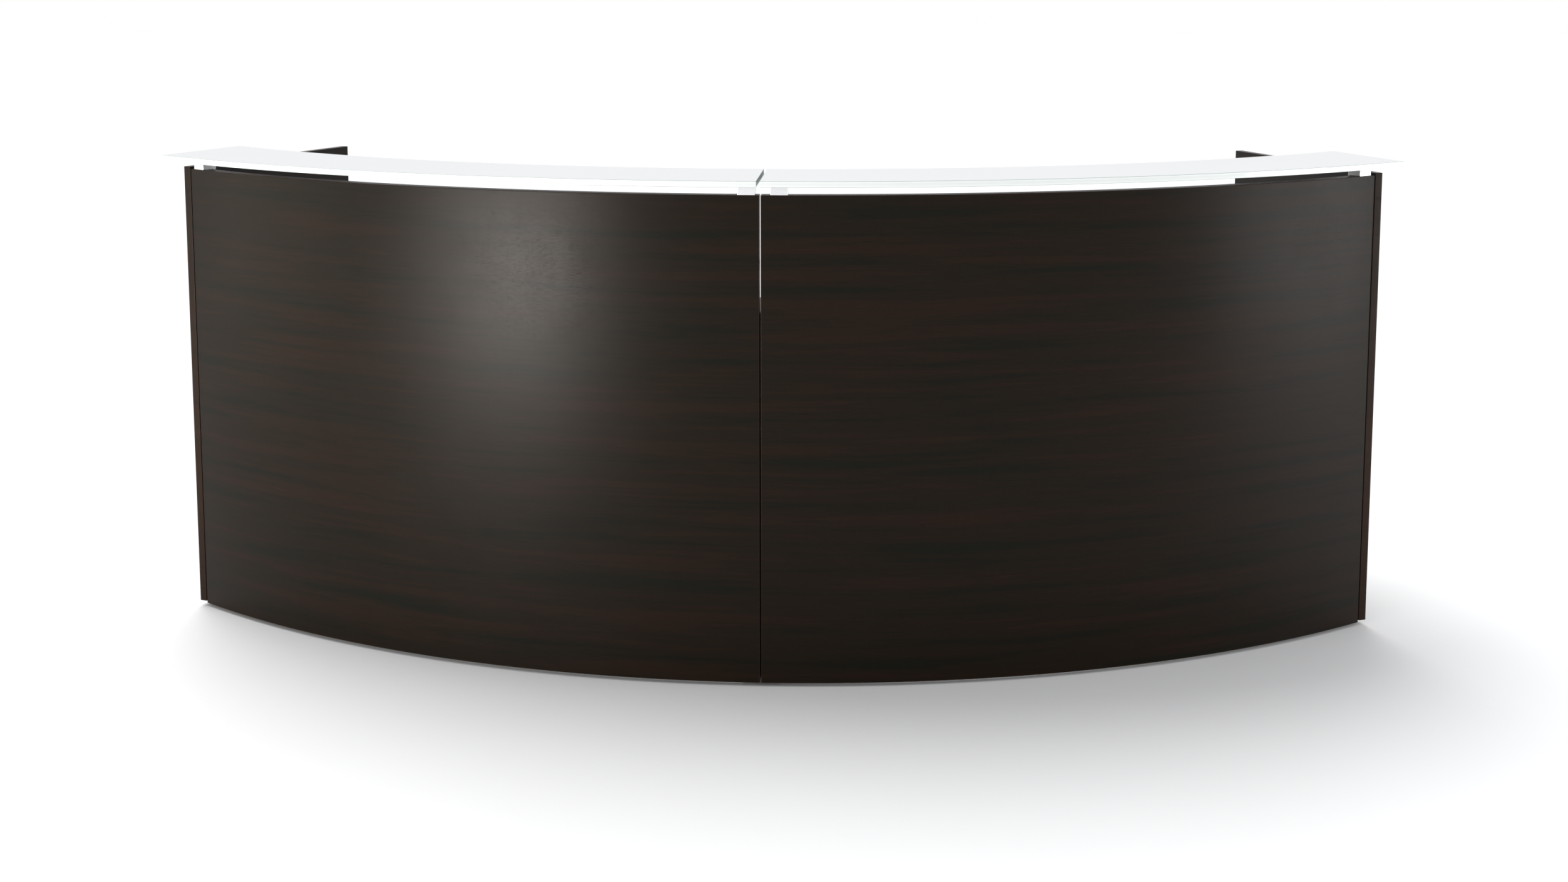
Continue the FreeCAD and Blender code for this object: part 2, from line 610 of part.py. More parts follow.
def glide_stud(place):
    stud = rod(GLIDE_STUD_RADIUS, V(place.x, place.y, GLIDE_STUD_START), UP,
               GLIDE_STUD_TOP - GLIDE_STUD_START)
    stud = ease_edges(stud, lambda edge: edge.BoundBox.ZMin > GLIDE_STUD_TOP - PAST,
                      GLIDE_STUD_CHAMFER)
    nut_bottom = GLIDE_FOOT_HEIGHT + GLIDE_NUT_GAP
    nut = hexagon(GLIDE_HEX, place, nut_bottom, nut_bottom + GLIDE_NUT_HEIGHT)
    return stud.fuse(nut).removeSplitter()


# ---- assembly -----------------------------------------------------------------------------
def export(name, shape):
    placed = shape.copy()
    placed.translate(CENTRE_SHIFT)
    placed.exportStep("parts/" + name + ".step")


def export_pair(name, shape):
    export(name + "_right", shape)
    export(name + "_left", mirrored(shape))


export_pair("curved_panel", front_panel())
export_pair("gable", gable())
export("inner_support_right", inner_support(0))
export("inner_support_left", mirrored(inner_support(GLIDE_STAGGER)))
export_pair("worktop", worktop())
export_pair("glass_top", glass_pane())
export_pair("corner_blocks", corner_blocks())
export_pair("gable_cleat", gable_cleat())
export_pair("support_cleat", support_cleat())
export_pair("grommet_ring", grommet_ring())
export_pair("grommet_cap", grommet_cap())
export("seam_batten", seam_batten())
export("batten_screws", batten_screws())
export("joining_bolts", joining_bolts())
export("joining_sleeves", joining_sleeves())

pads = []
block_screws = []
for standoff_name, standoff_angle, standoff_middle in STANDOFFS:
    export(standoff_name, standoff(standoff_angle, standoff_middle))
    pads.append(glass_pad(standoff_angle, standoff_middle))
    block_screws.extend(standoff_screws(standoff_angle, standoff_middle))
export("glass_pads", Part.makeCompound(pads))
export("standoff_screws", Part.makeCompound(block_screws))

brackets = Part.makeCompound([worktop_bracket(angle) for angle in BRACKET_ANGLES])
export_pair("worktop_brackets", brackets)
small_screws = [one for angle in BRACKET_ANGLES for one in worktop_bracket_screws(angle)]
small_screws.extend(gable_cleat_screws())
small_screws.extend(support_cleat_screws())
export_pair("bracket_screws", Part.makeCompound(small_screws))

for side_name, sign, stagger in SIDES:
    front_place, rear_place = gable_glide_places()
    inner_front, inner_rear = support_glide_places(stagger)
    glides = (("gable_front", front_place), ("gable_rear", rear_place),
              ("support_front", inner_front), ("support_rear", inner_rear))
    inserts = []
    for glide_name, place in glides:
        spot = V(sign * place.x, place.y, 0)
        inserts.append(glide_insert(spot))
        export("%s_glide_foot_%s" % (glide_name, side_name), glide_foot(spot))
        export("%s_glide_stud_%s" % (glide_name, side_name), glide_stud(spot))
    export("glide_inserts_" + side_name, Part.makeCompound(inserts))
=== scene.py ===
"""Curved checkout counter: boards, glass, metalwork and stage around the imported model.

Metres, +Z up, customers on the -Y side, staff on the +Y side, X along the counter.
"""
import math

import bmesh
import bpy
from bpy.props import FloatProperty, FloatVectorProperty, IntProperty, PointerProperty
from mathutils import Matrix, Vector


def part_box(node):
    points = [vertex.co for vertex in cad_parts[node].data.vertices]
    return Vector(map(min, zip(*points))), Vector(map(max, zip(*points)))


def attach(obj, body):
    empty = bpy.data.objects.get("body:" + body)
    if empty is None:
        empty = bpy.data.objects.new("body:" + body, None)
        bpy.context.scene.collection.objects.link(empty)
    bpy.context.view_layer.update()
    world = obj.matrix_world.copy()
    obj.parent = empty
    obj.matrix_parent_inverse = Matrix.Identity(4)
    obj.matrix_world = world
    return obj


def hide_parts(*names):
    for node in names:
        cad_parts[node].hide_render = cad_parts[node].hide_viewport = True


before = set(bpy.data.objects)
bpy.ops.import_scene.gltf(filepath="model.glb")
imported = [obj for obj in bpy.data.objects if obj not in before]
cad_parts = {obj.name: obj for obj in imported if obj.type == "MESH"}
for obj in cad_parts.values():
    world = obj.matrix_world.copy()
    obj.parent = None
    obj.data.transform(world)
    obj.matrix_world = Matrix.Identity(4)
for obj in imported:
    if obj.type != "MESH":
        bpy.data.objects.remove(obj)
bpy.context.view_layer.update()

bl_info = {
    "name": "Curved checkout counter",
    "version": (1, 0, 0),
    "blender": (4, 5, 0),
    "location": "3D View > Sidebar > Counter",
    "description": "Builds the boards, glass, metalwork and stage of a curved checkout counter",
    "category": "Object",
}

MAIN_BODY = "counter"
SIDES = (("right", 1), ("left", -1))
UP = Vector((0, 0, 1))
ALONG = Vector((1, 0, 0))             # from the seam towards the right end
EDGING = 1                            # places in a board's and a pane's list of finishes
# The ground finish also covers the seam ends, where its dark green is painted shade in the gap
# between the panes.
FACE, POLISHED, GROUND_AND_SEAM_SHADE = 0, 1, 2

# Blanks are spun a little too long, then sawn to the module's outline.
BLANK_START = math.radians(-1)
PANEL_SPARE = math.radians(4)
PANE_SPARE = math.radians(6)
WORKTOP_SPARE = math.radians(9)
PAST = 0.01                           # how far a cutting shape runs past a board
ONE_POINT = 1e-6                      # points closer than this are merged
EASED = math.radians(30)              # sharper corners than this are eased
CRISP = math.radians(40)              # sharper corners than this stay crisp in the shading
LEVEL = 0.98                          # a face whose normal is this upright lies level

# Where each kind of board starts along the grain, so that no two share their figure.
GABLE_GRAIN = 7
WORKTOP_GRAIN = 13
UPRIGHT_GRAIN = 23


# ---- sizes and colours that can be changed ------------------------------------------------
def length(name, description, default):
    return FloatProperty(name=name, description=description, default=default,
                         unit="LENGTH", precision=4, min=0)


def angle(name, description, degrees):
    return FloatProperty(name=name, description=description, default=math.radians(degrees),
                         subtype="ANGLE")


def place(name, description, default):
    return FloatVectorProperty(name=name, description=description, default=default,
                               subtype="TRANSLATION", unit="LENGTH")


def amount(name, description, default):
    return FloatProperty(name=name, description=description, default=default, precision=3)


def power(name, description, default):
    return FloatProperty(name=name, description=description, default=default, unit="POWER")


def colour(name, description, default):
    return FloatVectorProperty(name=name, description=description, default=default,
                               subtype="COLOR", size=3, min=0, max=1)


class COUNTER_PG_boards(bpy.types.PropertyGroup):
    """Sizes of the front panels, gables, worktops and uprights."""
    face_radius: length("Front radius", "Radius of the customer face", 2.118)
    half_angle: angle("Module angle", "Angle of one module from the seam", 39)
    panel_thickness: length("Panel thickness", "Thickness of the curved panels", 0.028)
    seam_gap: length("Seam gap", "Open joint between the two front panels", 0.0027)
    gable_turn: angle("Gable turn", "How far the gables turn inwards to the rear", 22)
    gable_length: length("Gable length", "Front to back", 0.585)
    gable_thickness: length("Gable thickness", "Thickness of the end boards", 0.018)
    reveal_width: length("Reveal width", "Shadow line between panel and gable", 0.002)
    reveal_depth: length("Reveal depth", "Depth of the shadow line", 0.006)
    worktop_rear: length("Worktop rear radius", "Radius of the staff edge", 1.590)
    worktop_fit: length("Worktop fit", "Clearance round the worktop", 0.0005)
    batten_width: length("Batten width", "Width of the batten behind the seam", 0.090)
    ease: length("Eased edge", "Rounding of the board edges", 0.0008)
    edging: length("Edging", "Thickness of the edging strip", 0.0013)
    arc_steps: IntProperty(name="Arc steps", description="Flats along one module's curve",
                           default=96, min=12)


class COUNTER_PG_glass(bpy.types.PropertyGroup):
    """Sizes of the glass panes and the blocks under them."""
    overhang: length("Overhang", "Glass in front of the panel face", 0.062)
    depth: length("Depth", "Front to back", 0.255)
    gap: length("Gap", "Open joint between the panes", 0.007)
    end_overhang: length("End overhang", "Glass beyond the outside of the gable", 0.016)
    rear_corner: length("Rear corner", "Rounding of the outer rear corner", 0.012)
    arris: length("Arris", "Polished bevel along the edges", 0.0010)
    block_width: length("Block width", "Width of a standoff block", 0.036)
    block_depth: length("Block depth", "Front to back of a standoff block", 0.034)
    leg_plate: length("Leg plate", "Thickness of the leg behind the panel", 0.004)
    leg_drop: length("Leg drop", "Height of the leg below the block", 0.048)
    pad: length("Pad", "Clear pad between block and glass", 0.0013)
    seam_left: length("Seam block, left", "From the seam to the left block", 0.010)
    seam_right: length("Seam block, right", "From the seam to the right block", 0.021)
    end_angle: angle("End block angle", "Place of the end blocks on the arc", 38.15)


class COUNTER_PG_fittings(bpy.types.PropertyGroup):
    """Sizes of the grommets and levelling glides."""
    grommet_hole: length("Grommet hole", "Radius of the hole in the worktop", 0.030)
    grommet_flange: length("Grommet flange", "Radius of the grommet's flange", 0.035)
    grommet_wall: length("Grommet wall", "Wall of the grommet's barrel", 0.0022)
    cap_slot: length("Cap slot", "Radius of the cable slot", 0.012)
    cap_thickness: length("Cap thickness", "Thickness of the cap", 0.003)
    foot_radius: length("Foot radius", "Radius of a glide's foot", 0.013)
    foot_height: length("Foot height", "Height of a glide's foot", 0.005)
    stud_radius: length("Stud radius", "Radius of a glide's stud", 0.004)
    thread_pitch: length("Thread pitch", "Rise of the thread in one turn", 0.00125)
    thread_depth: length("Thread depth", "Depth of the thread", 0.0006)
    nut_flats: length("Nut", "Across the flats of the glide's nut", 0.013)
    nut_height: length("Nut height", "Height of the glide's nut", 0.0045)
    nut_edge: length("Nut edge", "Rounding of the nut", 0.0005)
    flange_height: length("Flange height", "Flange above the worktop", 0.0018)
    ring_fit: length("Ring fit", "Between the barrel and its hole", 0.0001)
    ledge: length("Ledge", "How far the ledge under the cap stands in", 0.0016)
    ledge_height: length("Ledge height", "Thickness of the ledge", 0.001)
    cap_lift: length("Cap lift", "Between the cap and its ledge", 0.0002)
    cap_gap: length("Cap gap", "Between the cap and the ring", 0.0003)
    slot_inset: length("Slot inset", "Middle of the cable slot from the ring", 0.008)
    cap_edge: length("Cap edge", "Rounding of the cap", 0.0008)
    cap_bend: length("Cap bend", "Where the cap's rounding bends", 0.0003)
    ring_lip: length("Ring lip", "Rounding of the ring's inner edge", 0.0005)
    foot_floor: length("Foot floor", "Plastic left under the stud", 0.002)
    foot_edge: length("Foot edge", "Rounding of the foot", 0.002)
    foot_bend: length("Foot bend", "Where the foot's rounding bends", 0.0007)
    foot_rim: length("Foot rim", "Chamfer under the foot", 0.0006)
    fine_edge: length("Fine edge", "Rounding of small edges", 0.0004)
    bore_gap: length("Bore gap", "Between a stud and its bore", 0.00005)


class COUNTER_PG_finishes(bpy.types.PropertyGroup):
    """Colours of the finishes."""
    laminate_cool: colour("Laminate, cool", "Dark streaks of the laminate",
                          (0.0048, 0.0050, 0.0026))
    laminate_warm: colour("Laminate, warm", "Reddish streaks of the laminate",
                          (0.0140, 0.0064, 0.0032))
    edging_tone: colour("Edging", "Edging strips", (0.0190, 0.0100, 0.0060))
    timber_dark: colour("Timber, dark", "Late growth of the stained timber",
                        (0.030, 0.014, 0.007))
    timber_light: colour("Timber, light", "Early growth of the stained timber",
                         (0.085, 0.044, 0.022))
    glass_face: colour("Glass face", "White back-painted glass", (0.70, 0.71, 0.705))
    glass_edge: colour("Glass edge", "Polished edge of the glass", (0.80, 0.84, 0.825))
    # Dark green ground glass; on the seam ends it is painted shade in the gap between the panes.
    glass_ground_and_seam_shade: colour("Ground glass", "Arrises and the ends at the seam",
                         (0.30, 0.38, 0.35))
    aluminium: colour("Aluminium", "Standoff blocks", (0.80, 0.81, 0.82))
    zinc: colour("Zinc", "Plated steel", (0.60, 0.61, 0.62))
    plastic: colour("Plastic", "Black plastic fittings", (0.018, 0.018, 0.019))
    floor: colour("Floor", "Studio floor", (0.84, 0.84, 0.84))


class COUNTER_PG_stage(bpy.types.PropertyGroup):
    """Camera, floor and lights."""
    camera_place: place("Camera", "Place of the camera", (0.2735, -4.598, 1.495))
    camera_turn: angle("Camera turn", "Turn to the left", 3.12)
    camera_tilt: angle("Camera tilt", "Tilt below the horizontal", 7.57)
    lens: amount("Lens", "Focal length in millimetres", 47.17)
    shift: amount("Shift", "Rise of the counter in the picture", -0.13)
    floor_size: length("Floor", "Side of the floor", 80.0)
    overhead_place: place("Overhead light", "Where the light comes from", (-1.9, 2.3, 5.0))
    overhead_angle: angle("Overhead softness", "Width of the overhead light", 50)
    highlight_place: place("Highlight place", "Lamp to the left of the front",
                           (-3.22, -3.32, 0.34))
    highlight_aim: place("Highlight aim", "Where that lamp points", (-0.98, -0.25, 0.74))
    highlight_angle: angle("Highlight beam", "Width of that lamp's beam", 38)
    highlight_width: length("Highlight width", "Width of that lamp", 2.2)
    highlight_height: length("Highlight height", "Height of that lamp", 0.44)
    highlight_tint: colour("Highlight tint", "Colour of that lamp", (1.0, 0.96, 0.91))
    side_place: place("Side lamp place", "Right lamp; the left one mirrors it",
                      (4.6, -0.9, 0.9))
    side_aim: place("Side lamp aim", "Where the right lamp points", (1.2, -0.1, 0.6))
    side_width: length("Side lamp width", "Width of both side lamps", 2.0)
    side_height: length("Side lamp height", "Height of both side lamps", 1.6)
    left_tint: colour("Left tint", "Colour of the left lamp", (1.0, 0.93, 0.80))
    sky: amount("Sky", "Strength of the light from all round", 0.72)
    mirrored_sky: amount("Mirrored sky", "Strength of the same light in reflections", 0.90)
    overhead: amount("Overhead", "Strength of the broad overhead light", 2.35)
    highlight: power("Highlight lamp", "Power of the lamp to the left of the front", 10.4)
    left_fill: power("Left lamp", "Power of the lamp beyond the left end", 22.0)
    right_fill: power("Right lamp", "Power of the lamp beyond the right end", 58.0)


def boards():
    return bpy.context.scene.counter_boards


def glass():
    return bpy.context.scene.counter_glass


def fittings():
    return bpy.context.scene.counter_fittings


def finishes():
    return bpy.context.scene.counter_finishes


def stage():
    return bpy.context.scene.counter_stage


# ---- where things are ---------------------------------------------------------------------
def arc_centre():
    """The centre of the curved front, from the lowest Y of a front panel at the seam."""
    return Vector((0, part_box("curved_panel_right")[0].y + boards().face_radius, 0))


def arc_point(radius, turn, z):
    """A point on a circle about the front's centre; the seam is at angle 0."""
    return arc_centre() + Vector((radius * math.sin(turn), -radius * math.cos(turn), z))


def backwards():
    return Vector((-math.sin(boards().gable_turn), math.cos(boards().gable_turn), 0))


def outwards():
    return Vector((math.cos(boards().gable_turn), math.sin(boards().gable_turn), 0))


def gable_point(along, out, z=0.0):
    """A point measured from the right gable's inner front corner."""
    corner = arc_point(boards().face_radius, boards().half_angle, 0)
    corner += outwards() * boards().reveal_width
    return corner + backwards() * along + outwards() * out + UP * z


def node_height(name):
    low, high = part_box(name)
    return low.z, high.z


def node_middle(name):
    low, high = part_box(name)
    return (low + high) / 2


# ---- workshop: shaping --------------------------------------------------------------------
def everything(bm):
    return [*bm.verts, *bm.edges, *bm.faces]


def facing_out(bm):
    bmesh.ops.recalc_face_normals(bm, faces=bm.faces)
    return bm


def mesh_of(bm, name):
    mesh = bpy.data.meshes.new(name)
    bm.to_mesh(mesh)
    bm.free()
    return mesh


def put(name, data):
    """A new object in the scene."""
    made = bpy.data.objects.new(name, data)
    bpy.context.collection.objects.link(made)
    return made


def curved_board(outer, inner, bottom, top, start, end):
    """A rectangle in the radial plane, spun about the centre of the front."""
    bm = bmesh.new()
    corners = ((outer, bottom), (outer, top), (inner, top), (inner, bottom))
    section = bm.faces.new([bm.verts.new(arc_point(r, start, z)) for r, z in corners])
    bmesh.ops.spin(bm, geom=[section], cent=arc_centre(), axis=UP, angle=end - start,
                   steps=boards().arc_steps, use_merge=False)
    return facing_out(bm)


def slab(corner, sides):
    """A board from one corner along three edges."""
    bm = bmesh.new()
    bmesh.ops.create_cube(bm, size=1)
    x, y, z = sides
    middle = corner + (x + y + z) / 2
    matrix = Matrix((x, y, z)).transposed().to_4x4()
    bmesh.ops.transform(bm, matrix=Matrix.Translation(middle) @ matrix, verts=bm.verts)
    return facing_out(bm)


def straight_board(low, high):
    spans = high - low
    return slab(low, (Vector((spans.x, 0, 0)), Vector((0, spans.y, 0)), Vector((0, 0, spans.z))))


def join(bm, other):
    """Add another shape as a loose part of the same piece."""
    part = mesh_of(other, "part")
    bm.from_mesh(part)
    bpy.data.meshes.remove(part)


def saw(bm, point, outward):
    """Cut off what lies beyond a plane and close the cut."""
    cut = bmesh.ops.bisect_plane(bm, geom=everything(bm), dist=ONE_POINT, plane_co=point,
                                 plane_no=outward, clear_outer=True)
    rim = [part for part in cut["geom_cut"] if isinstance(part, bmesh.types.BMEdge)]
    bmesh.ops.edgeloop_fill(bm, edges=rim)
    facing_out(bm)


def is_sharp(edge):
    return edge.is_manifold and edge.calc_face_angle() > EASED


def ease(bm, width, segments=2, wanted=is_sharp):
    edges = [edge for edge in bm.edges if wanted(edge)]
    bmesh.ops.bevel(bm, geom=edges, offset=width, offset_type="OFFSET", segments=segments,
                    profile=0.5, affect="EDGES", material=-1, clamp_overlap=True)


def band(bm, planes):
    """Score a line behind each sawn face and give the strip beyond it the edging."""
    for point, outward in planes:
        line = point - outward * boards().edging
        bmesh.ops.bisect_plane(bm, geom=everything(bm), dist=1e-7, plane_co=line,
                               plane_no=outward)
        for face in bm.faces:
            if (face.calc_center_median() - line).dot(outward) > 0:
                face.material_index = EDGING


def cut_away(bm, tool):
    """Take the tool's shape out of a piece."""
    blank = put("blank", mesh_of(bm, "blank"))
    cutter = put("cutter", mesh_of(tool, "cutter"))
    cut = blank.modifiers.new("cut", "BOOLEAN")
    cut.operation = "DIFFERENCE"
    cut.solver = "EXACT"
    cut.object = cutter
    bpy.context.view_layer.update()
    result = bmesh.new()
    result.from_object(blank, bpy.context.evaluated_depsgraph_get())
    for one in (blank, cutter):
        mesh = one.data
        bpy.data.objects.remove(one)
        bpy.data.meshes.remove(mesh)
    return result


def drawn(bm, profile, centre):
    """A line through (radius, height) points."""
    points = [bm.verts.new(centre + Vector((r, 0, z))) for r, z in profile]
    return points, [bm.edges.new(pair) for pair in zip(points, points[1:])]


def lathe(profile, centre, steps, closed=False):
    """Spin a profile about an upright axis."""
    bm = bmesh.new()
    points, lines = drawn(bm, profile, centre)
    if closed:
        lines.append(bm.edges.new((points[-1], points[0])))
    bmesh.ops.spin(bm, geom=points + lines, cent=centre, axis=UP, angle=math.tau, steps=steps,
                   use_merge=True)
    bmesh.ops.remove_doubles(bm, verts=bm.verts, dist=ONE_POINT)
    return facing_out(bm)


def prism(outline, run):
    """An outline drawn out along a straight run."""
    bm = bmesh.new()
    face = bm.faces.new([bm.verts.new(point) for point in outline])
    grown = bmesh.ops.extrude_face_region(bm, geom=[face])
    moved = [part for part in grown["geom"] if isinstance(part, bmesh.types.BMVert)]
    bmesh.ops.translate(bm, vec=run, verts=moved)
    return facing_out(bm)


def upright_prism(outline, bottom, top):
    return prism([Vector((p.x, p.y, bottom)) for p in outline], UP * (top - bottom))


def round_rod(radius, centre, bottom, top, steps=64):
    """A rod with flats; six of them make a nut."""
    outline = [centre + Vector((math.cos(t), math.sin(t), 0)) * radius
               for t in (math.tau * i / steps for i in range(steps))]
    return upright_prism(outline, bottom, top)


def handed(bm, sign):
    """Shapes are made for the right side; the left one is its mirror image."""
    if sign < 0:
        bmesh.ops.scale(bm, vec=(-1, 1, 1), verts=bm.verts)
        facing_out(bm)
    return bm


def is_tall(face):
    heights = [vert.co.z for vert in face.verts]
    low = Vector([min(vert.co[i] for vert in face.verts) for i in (0, 1)])
    high = Vector([max(vert.co[i] for vert in face.verts) for i in (0, 1)])
    return max(heights) - min(heights) > (high - low).length


def lay_grain(bm, along, across):
    """Real-size grain coordinates; on upright edging strips the grain runs upwards."""
    layer = bm.loops.layers.uv.new("grain")
    for face in bm.faces:
        turned = face.material_index == EDGING and is_tall(face)
        for loop in face.loops:
            point = loop.vert.co
            spot = (along(point), across(point))
            loop[layer].uv = (point.z, spot[0]) if turned else spot


def piece(name, bm, materials, body=MAIN_BODY, stands_for=()):
    """Turn a finished shape into an object that rides on its body."""
    mesh = mesh_of(bm, name)
    for material in materials:
        mesh.materials.append(material)
    mesh.shade_smooth()
    mesh.set_sharp_from_angle(angle=CRISP)
    made = put(name, mesh)
    weighted = made.modifiers.new("flat faces stay flat", "WEIGHTED_NORMAL")
    weighted.keep_sharp = True
    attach(made, body)
    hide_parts(*stands_for)
    return made


# ---- workshop: mixing finishes ------------------------------------------------------------
def wire(tree, socket, value):
    if isinstance(value, bpy.types.NodeSocket):
        tree.links.new(value, socket)
    else:
        socket.default_value = value


def feed(tree, node, **inputs):
    """Set or link a node's inputs by name."""
    for key, value in inputs.items():
        wire(tree, node.inputs[key.replace("_", " ")], value)


def add(tree, kind, settings=None, **inputs):
    """A node with its settings and its inputs."""
    made = tree.nodes.new("ShaderNode" + kind)
    for key, value in (settings or {}).items():
        setattr(made, key, value)
    feed(tree, made, **inputs)
    return made


def maths(tree, operation, *values, clamp=False):
    made = add(tree, "Math", {"operation": operation, "use_clamp": clamp})
    for socket, value in zip(made.inputs, values):
        wire(tree, socket, value)
    return made.outputs[0]


def times(tree, first, second, clamp=False):
    return maths(tree, "MULTIPLY", first, second, clamp=clamp)


def plus(tree, first, second):
    return maths(tree, "ADD", first, second)


def spread(tree, value, low, high, to_low=0.0, to_high=1.0):
    """Stretch a value's range, clamped."""
    made = add(tree, "MapRange", {"clamp": True}, Value=value, From_Min=low, From_Max=high,
               To_Min=to_low, To_Max=to_high)
    return made.outputs["Result"]


def mix(tree, share, first, second):
    made = add(tree, "Mix", {"data_type": "RGBA"})
    for socket, value in zip((made.inputs[0], made.inputs[6], made.inputs[7]),
                             (share, first, second)):
        wire(tree, socket, value)
    return made.outputs[2]


def stretched(tree, vector, scale):
    return add(tree, "Mapping", None, Vector=vector, Scale=scale).outputs["Vector"]


def split(tree, vector):
    """A vector's X, Y and Z."""
    return add(tree, "SeparateXYZ", None, Vector=vector).outputs


def united(tree, x, y, z):
    return add(tree, "CombineXYZ", None, X=x, Y=y, Z=z).outputs["Vector"]


def noise(tree, vector, scale, detail=2.0, roughness=0.5):
    made = add(tree, "TexNoise", None, Vector=vector, Scale=scale, Detail=detail,
               Roughness=roughness)
    return made.outputs["Fac"]


def on_object(tree):
    """Where a point lies on its object."""
    return add(tree, "TexCoord").outputs["Object"]


def true_normal(tree):
    return add(tree, "NewGeometry").outputs["Normal"]


def rgba(values, share=1.0):
    """A colour for a node, made deeper or paler by a share."""
    return (*(value * share for value in values), 1.0)


def own_name(make):
    """Finishes and shared effects are named after the functions that make them."""
    return make.__name__.replace("_", " ")


def new_group(name, inputs, outputs):
    """An empty shared effect with its named inputs (kind, default) and outputs."""
    group = bpy.data.node_groups.new(name, "ShaderNodeTree")
    for key, (kind, default) in inputs.items():
        socket = group.interface.new_socket(key, in_out="INPUT", socket_type="NodeSocket" + kind)
        if default is not None:
            socket.default_value = default
    for key in outputs:
        group.interface.new_socket(key, in_out="OUTPUT", socket_type="NodeSocketFloat")
    given = group.nodes.new("NodeGroupInput")
    return group, given.outputs, group.nodes.new("NodeGroupOutput")


def placed(tree, make, **inputs):
    """A shared effect's outputs in a material; it is built the first time it is asked for."""
    name = own_name(make)
    group = bpy.data.node_groups.get(name) or make(name)
    return add(tree, "Group", {"node_tree": group}, **inputs).outputs


def wood_grain(name):
    """Long streaks, fine lines and pores along X of the vector, in metres."""
    group, given, out = new_group(
        name,
        {"Vector": ("Vector", None), "Streak Width": ("Float", 0.030),
         "Waviness": ("Float", 0.02)},
        ("Streaks", "Lines", "Pores", "Height"))
    vector = given["Vector"]
    wander = noise(group, stretched(group, vector, (1.1, 3.5, 1.0)), 1.0, 2.0)
    wander = times(group, maths(group, "SUBTRACT", wander, 0.5), given["Waviness"])
    x, y, z = split(group, vector)
    across = plus(group, y, wander)
    bent = united(group, x, across, z)
    per_width = maths(group, "DIVIDE", 1.0, given["Streak Width"])
    wide = united(group, times(group, x, 1.5), times(group, across, per_width), z)
    broad = noise(group, wide, 1.0, 3.0, 0.55)
    narrow = noise(group, stretched(group, bent, (3.4, 125.0, 1.0)), 1.0, 3.0, 0.6)
    streaks = plus(group, times(group, broad, 0.65), times(group, narrow, 0.35))
    streaks = spread(group, streaks, 0.36, 0.64)
    lines = noise(group, stretched(group, bent, (16.0, 950.0, 1.0)), 1.0, 2.0, 0.6)
    pores = noise(group, stretched(group, bent, (70.0, 2600.0, 1.0)), 1.0, 1.0)
    pores = spread(group, pores, 0.62, 0.72)
    height = maths(group, "SUBTRACT", times(group, lines, 0.5), pores)
    feed(group, out, Streaks=streaks, Lines=spread(group, lines, 0.3, 0.7), Pores=pores,
         Height=height)
    return group


def edge_wear_and_highlight(name):
    """Where edges are rubbed and painted lighter, partly as real wear and partly as a painted
    highlight: the mask follows the rounded corner and breaks up.
    """
    group, given, out = new_group(
        name, {"Radius": ("Float", 0.0015), "Break Up": ("Float", 0.5)}, ("Mask",))
    softened = add(group, "Bevel", {"samples": 4}, Radius=given["Radius"])
    facing = add(group, "VectorMath", {"operation": "DOT_PRODUCT"})
    wire(group, facing.inputs[0], softened.outputs["Normal"])
    wire(group, facing.inputs[1], true_normal(group))
    turned = maths(group, "SUBTRACT", 1.0, facing.outputs["Value"])
    # Rounded edges: the mask for real rubbing and for a painted highlight along the edges.
    rubbed_and_highlit = spread(group, turned, 0.02, 0.22)
    broken = spread(group, noise(group, on_object(group), 38.0, 4.0, 0.65), 0.35, 0.65)
    share = times(group, broken, given["Break Up"])
    solid = maths(group, "SUBTRACT", 1.0, given["Break Up"])
    feed(group, out, Mask=times(group, rubbed_and_highlit, plus(group, share, solid), clamp=True))
    return group


def handling_marks(name):
    """Faint cloudy smudges and fine wipe lines left by hands and cloths."""
    group, given, out = new_group(
        name, {"Vector": ("Vector", None), "Size": ("Float", 0.16)}, ("Mask",))
    per_size = maths(group, "DIVIDE", 1.0, given["Size"])
    cloud = noise(group, given["Vector"], per_size, 3.0, 0.6)
    wipes = noise(group, stretched(group, given["Vector"], (7.0, 60.0, 60.0)), 1.0, 3.0)
    feed(group, out, Mask=times(group, spread(group, cloud, 0.42, 0.75),
                                spread(group, wipes, 0.3, 0.7, 0.4, 1.0)))
    return group


def settled_dust(name):
    """Fine dust that lies on what faces upwards, thicker in patches."""
    group, given, out = new_group(name, {"Amount": ("Float", 0.3)}, ("Mask",))
    level = spread(group, split(group, true_normal(group))["Z"], 0.7, 0.98)
    where = on_object(group)
    patches = spread(group, noise(group, where, 5.0, 4.0, 0.6), 0.35, 0.7)
    specks = spread(group, noise(group, where, 900.0, 2.0, 0.7), 0.55, 0.75)
    lying = plus(group, times(group, patches, 0.6), times(group, specks, 0.4))
    lying = times(group, lying, level)
    feed(group, out, Mask=times(group, lying, given["Amount"], clamp=True))
    return group


def brushed_lines(name):
    """Fine straight scratches along X of the vector."""
    group, given, out = new_group(
        name, {"Vector": ("Vector", None), "Fineness": ("Float", 2400.0)},
        ("Tone", "Height"))
    x, y, z = split(group, given["Vector"])
    lined = united(group, times(group, x, 22.0), times(group, y, given["Fineness"]),
                   times(group, z, given["Fineness"]))
    scratches = noise(group, lined, 1.0, 3.0, 0.7)
    feed(group, out, Tone=spread(group, scratches, 0.3, 0.7), Height=scratches)
    return group


def new_finish(name):
    """A material with its Principled shader, ready for its nodes."""
    made = bpy.data.materials.new(name)
    made.use_nodes = True
    return made, made.node_tree, made.node_tree.nodes["Principled BSDF"]


def bump(tree, shader, height, depth, strength):
    made = add(tree, "Bump", None, Strength=strength, Distance=depth, Height=height)
    feed(tree, shader, Normal=made.outputs["Normal"])


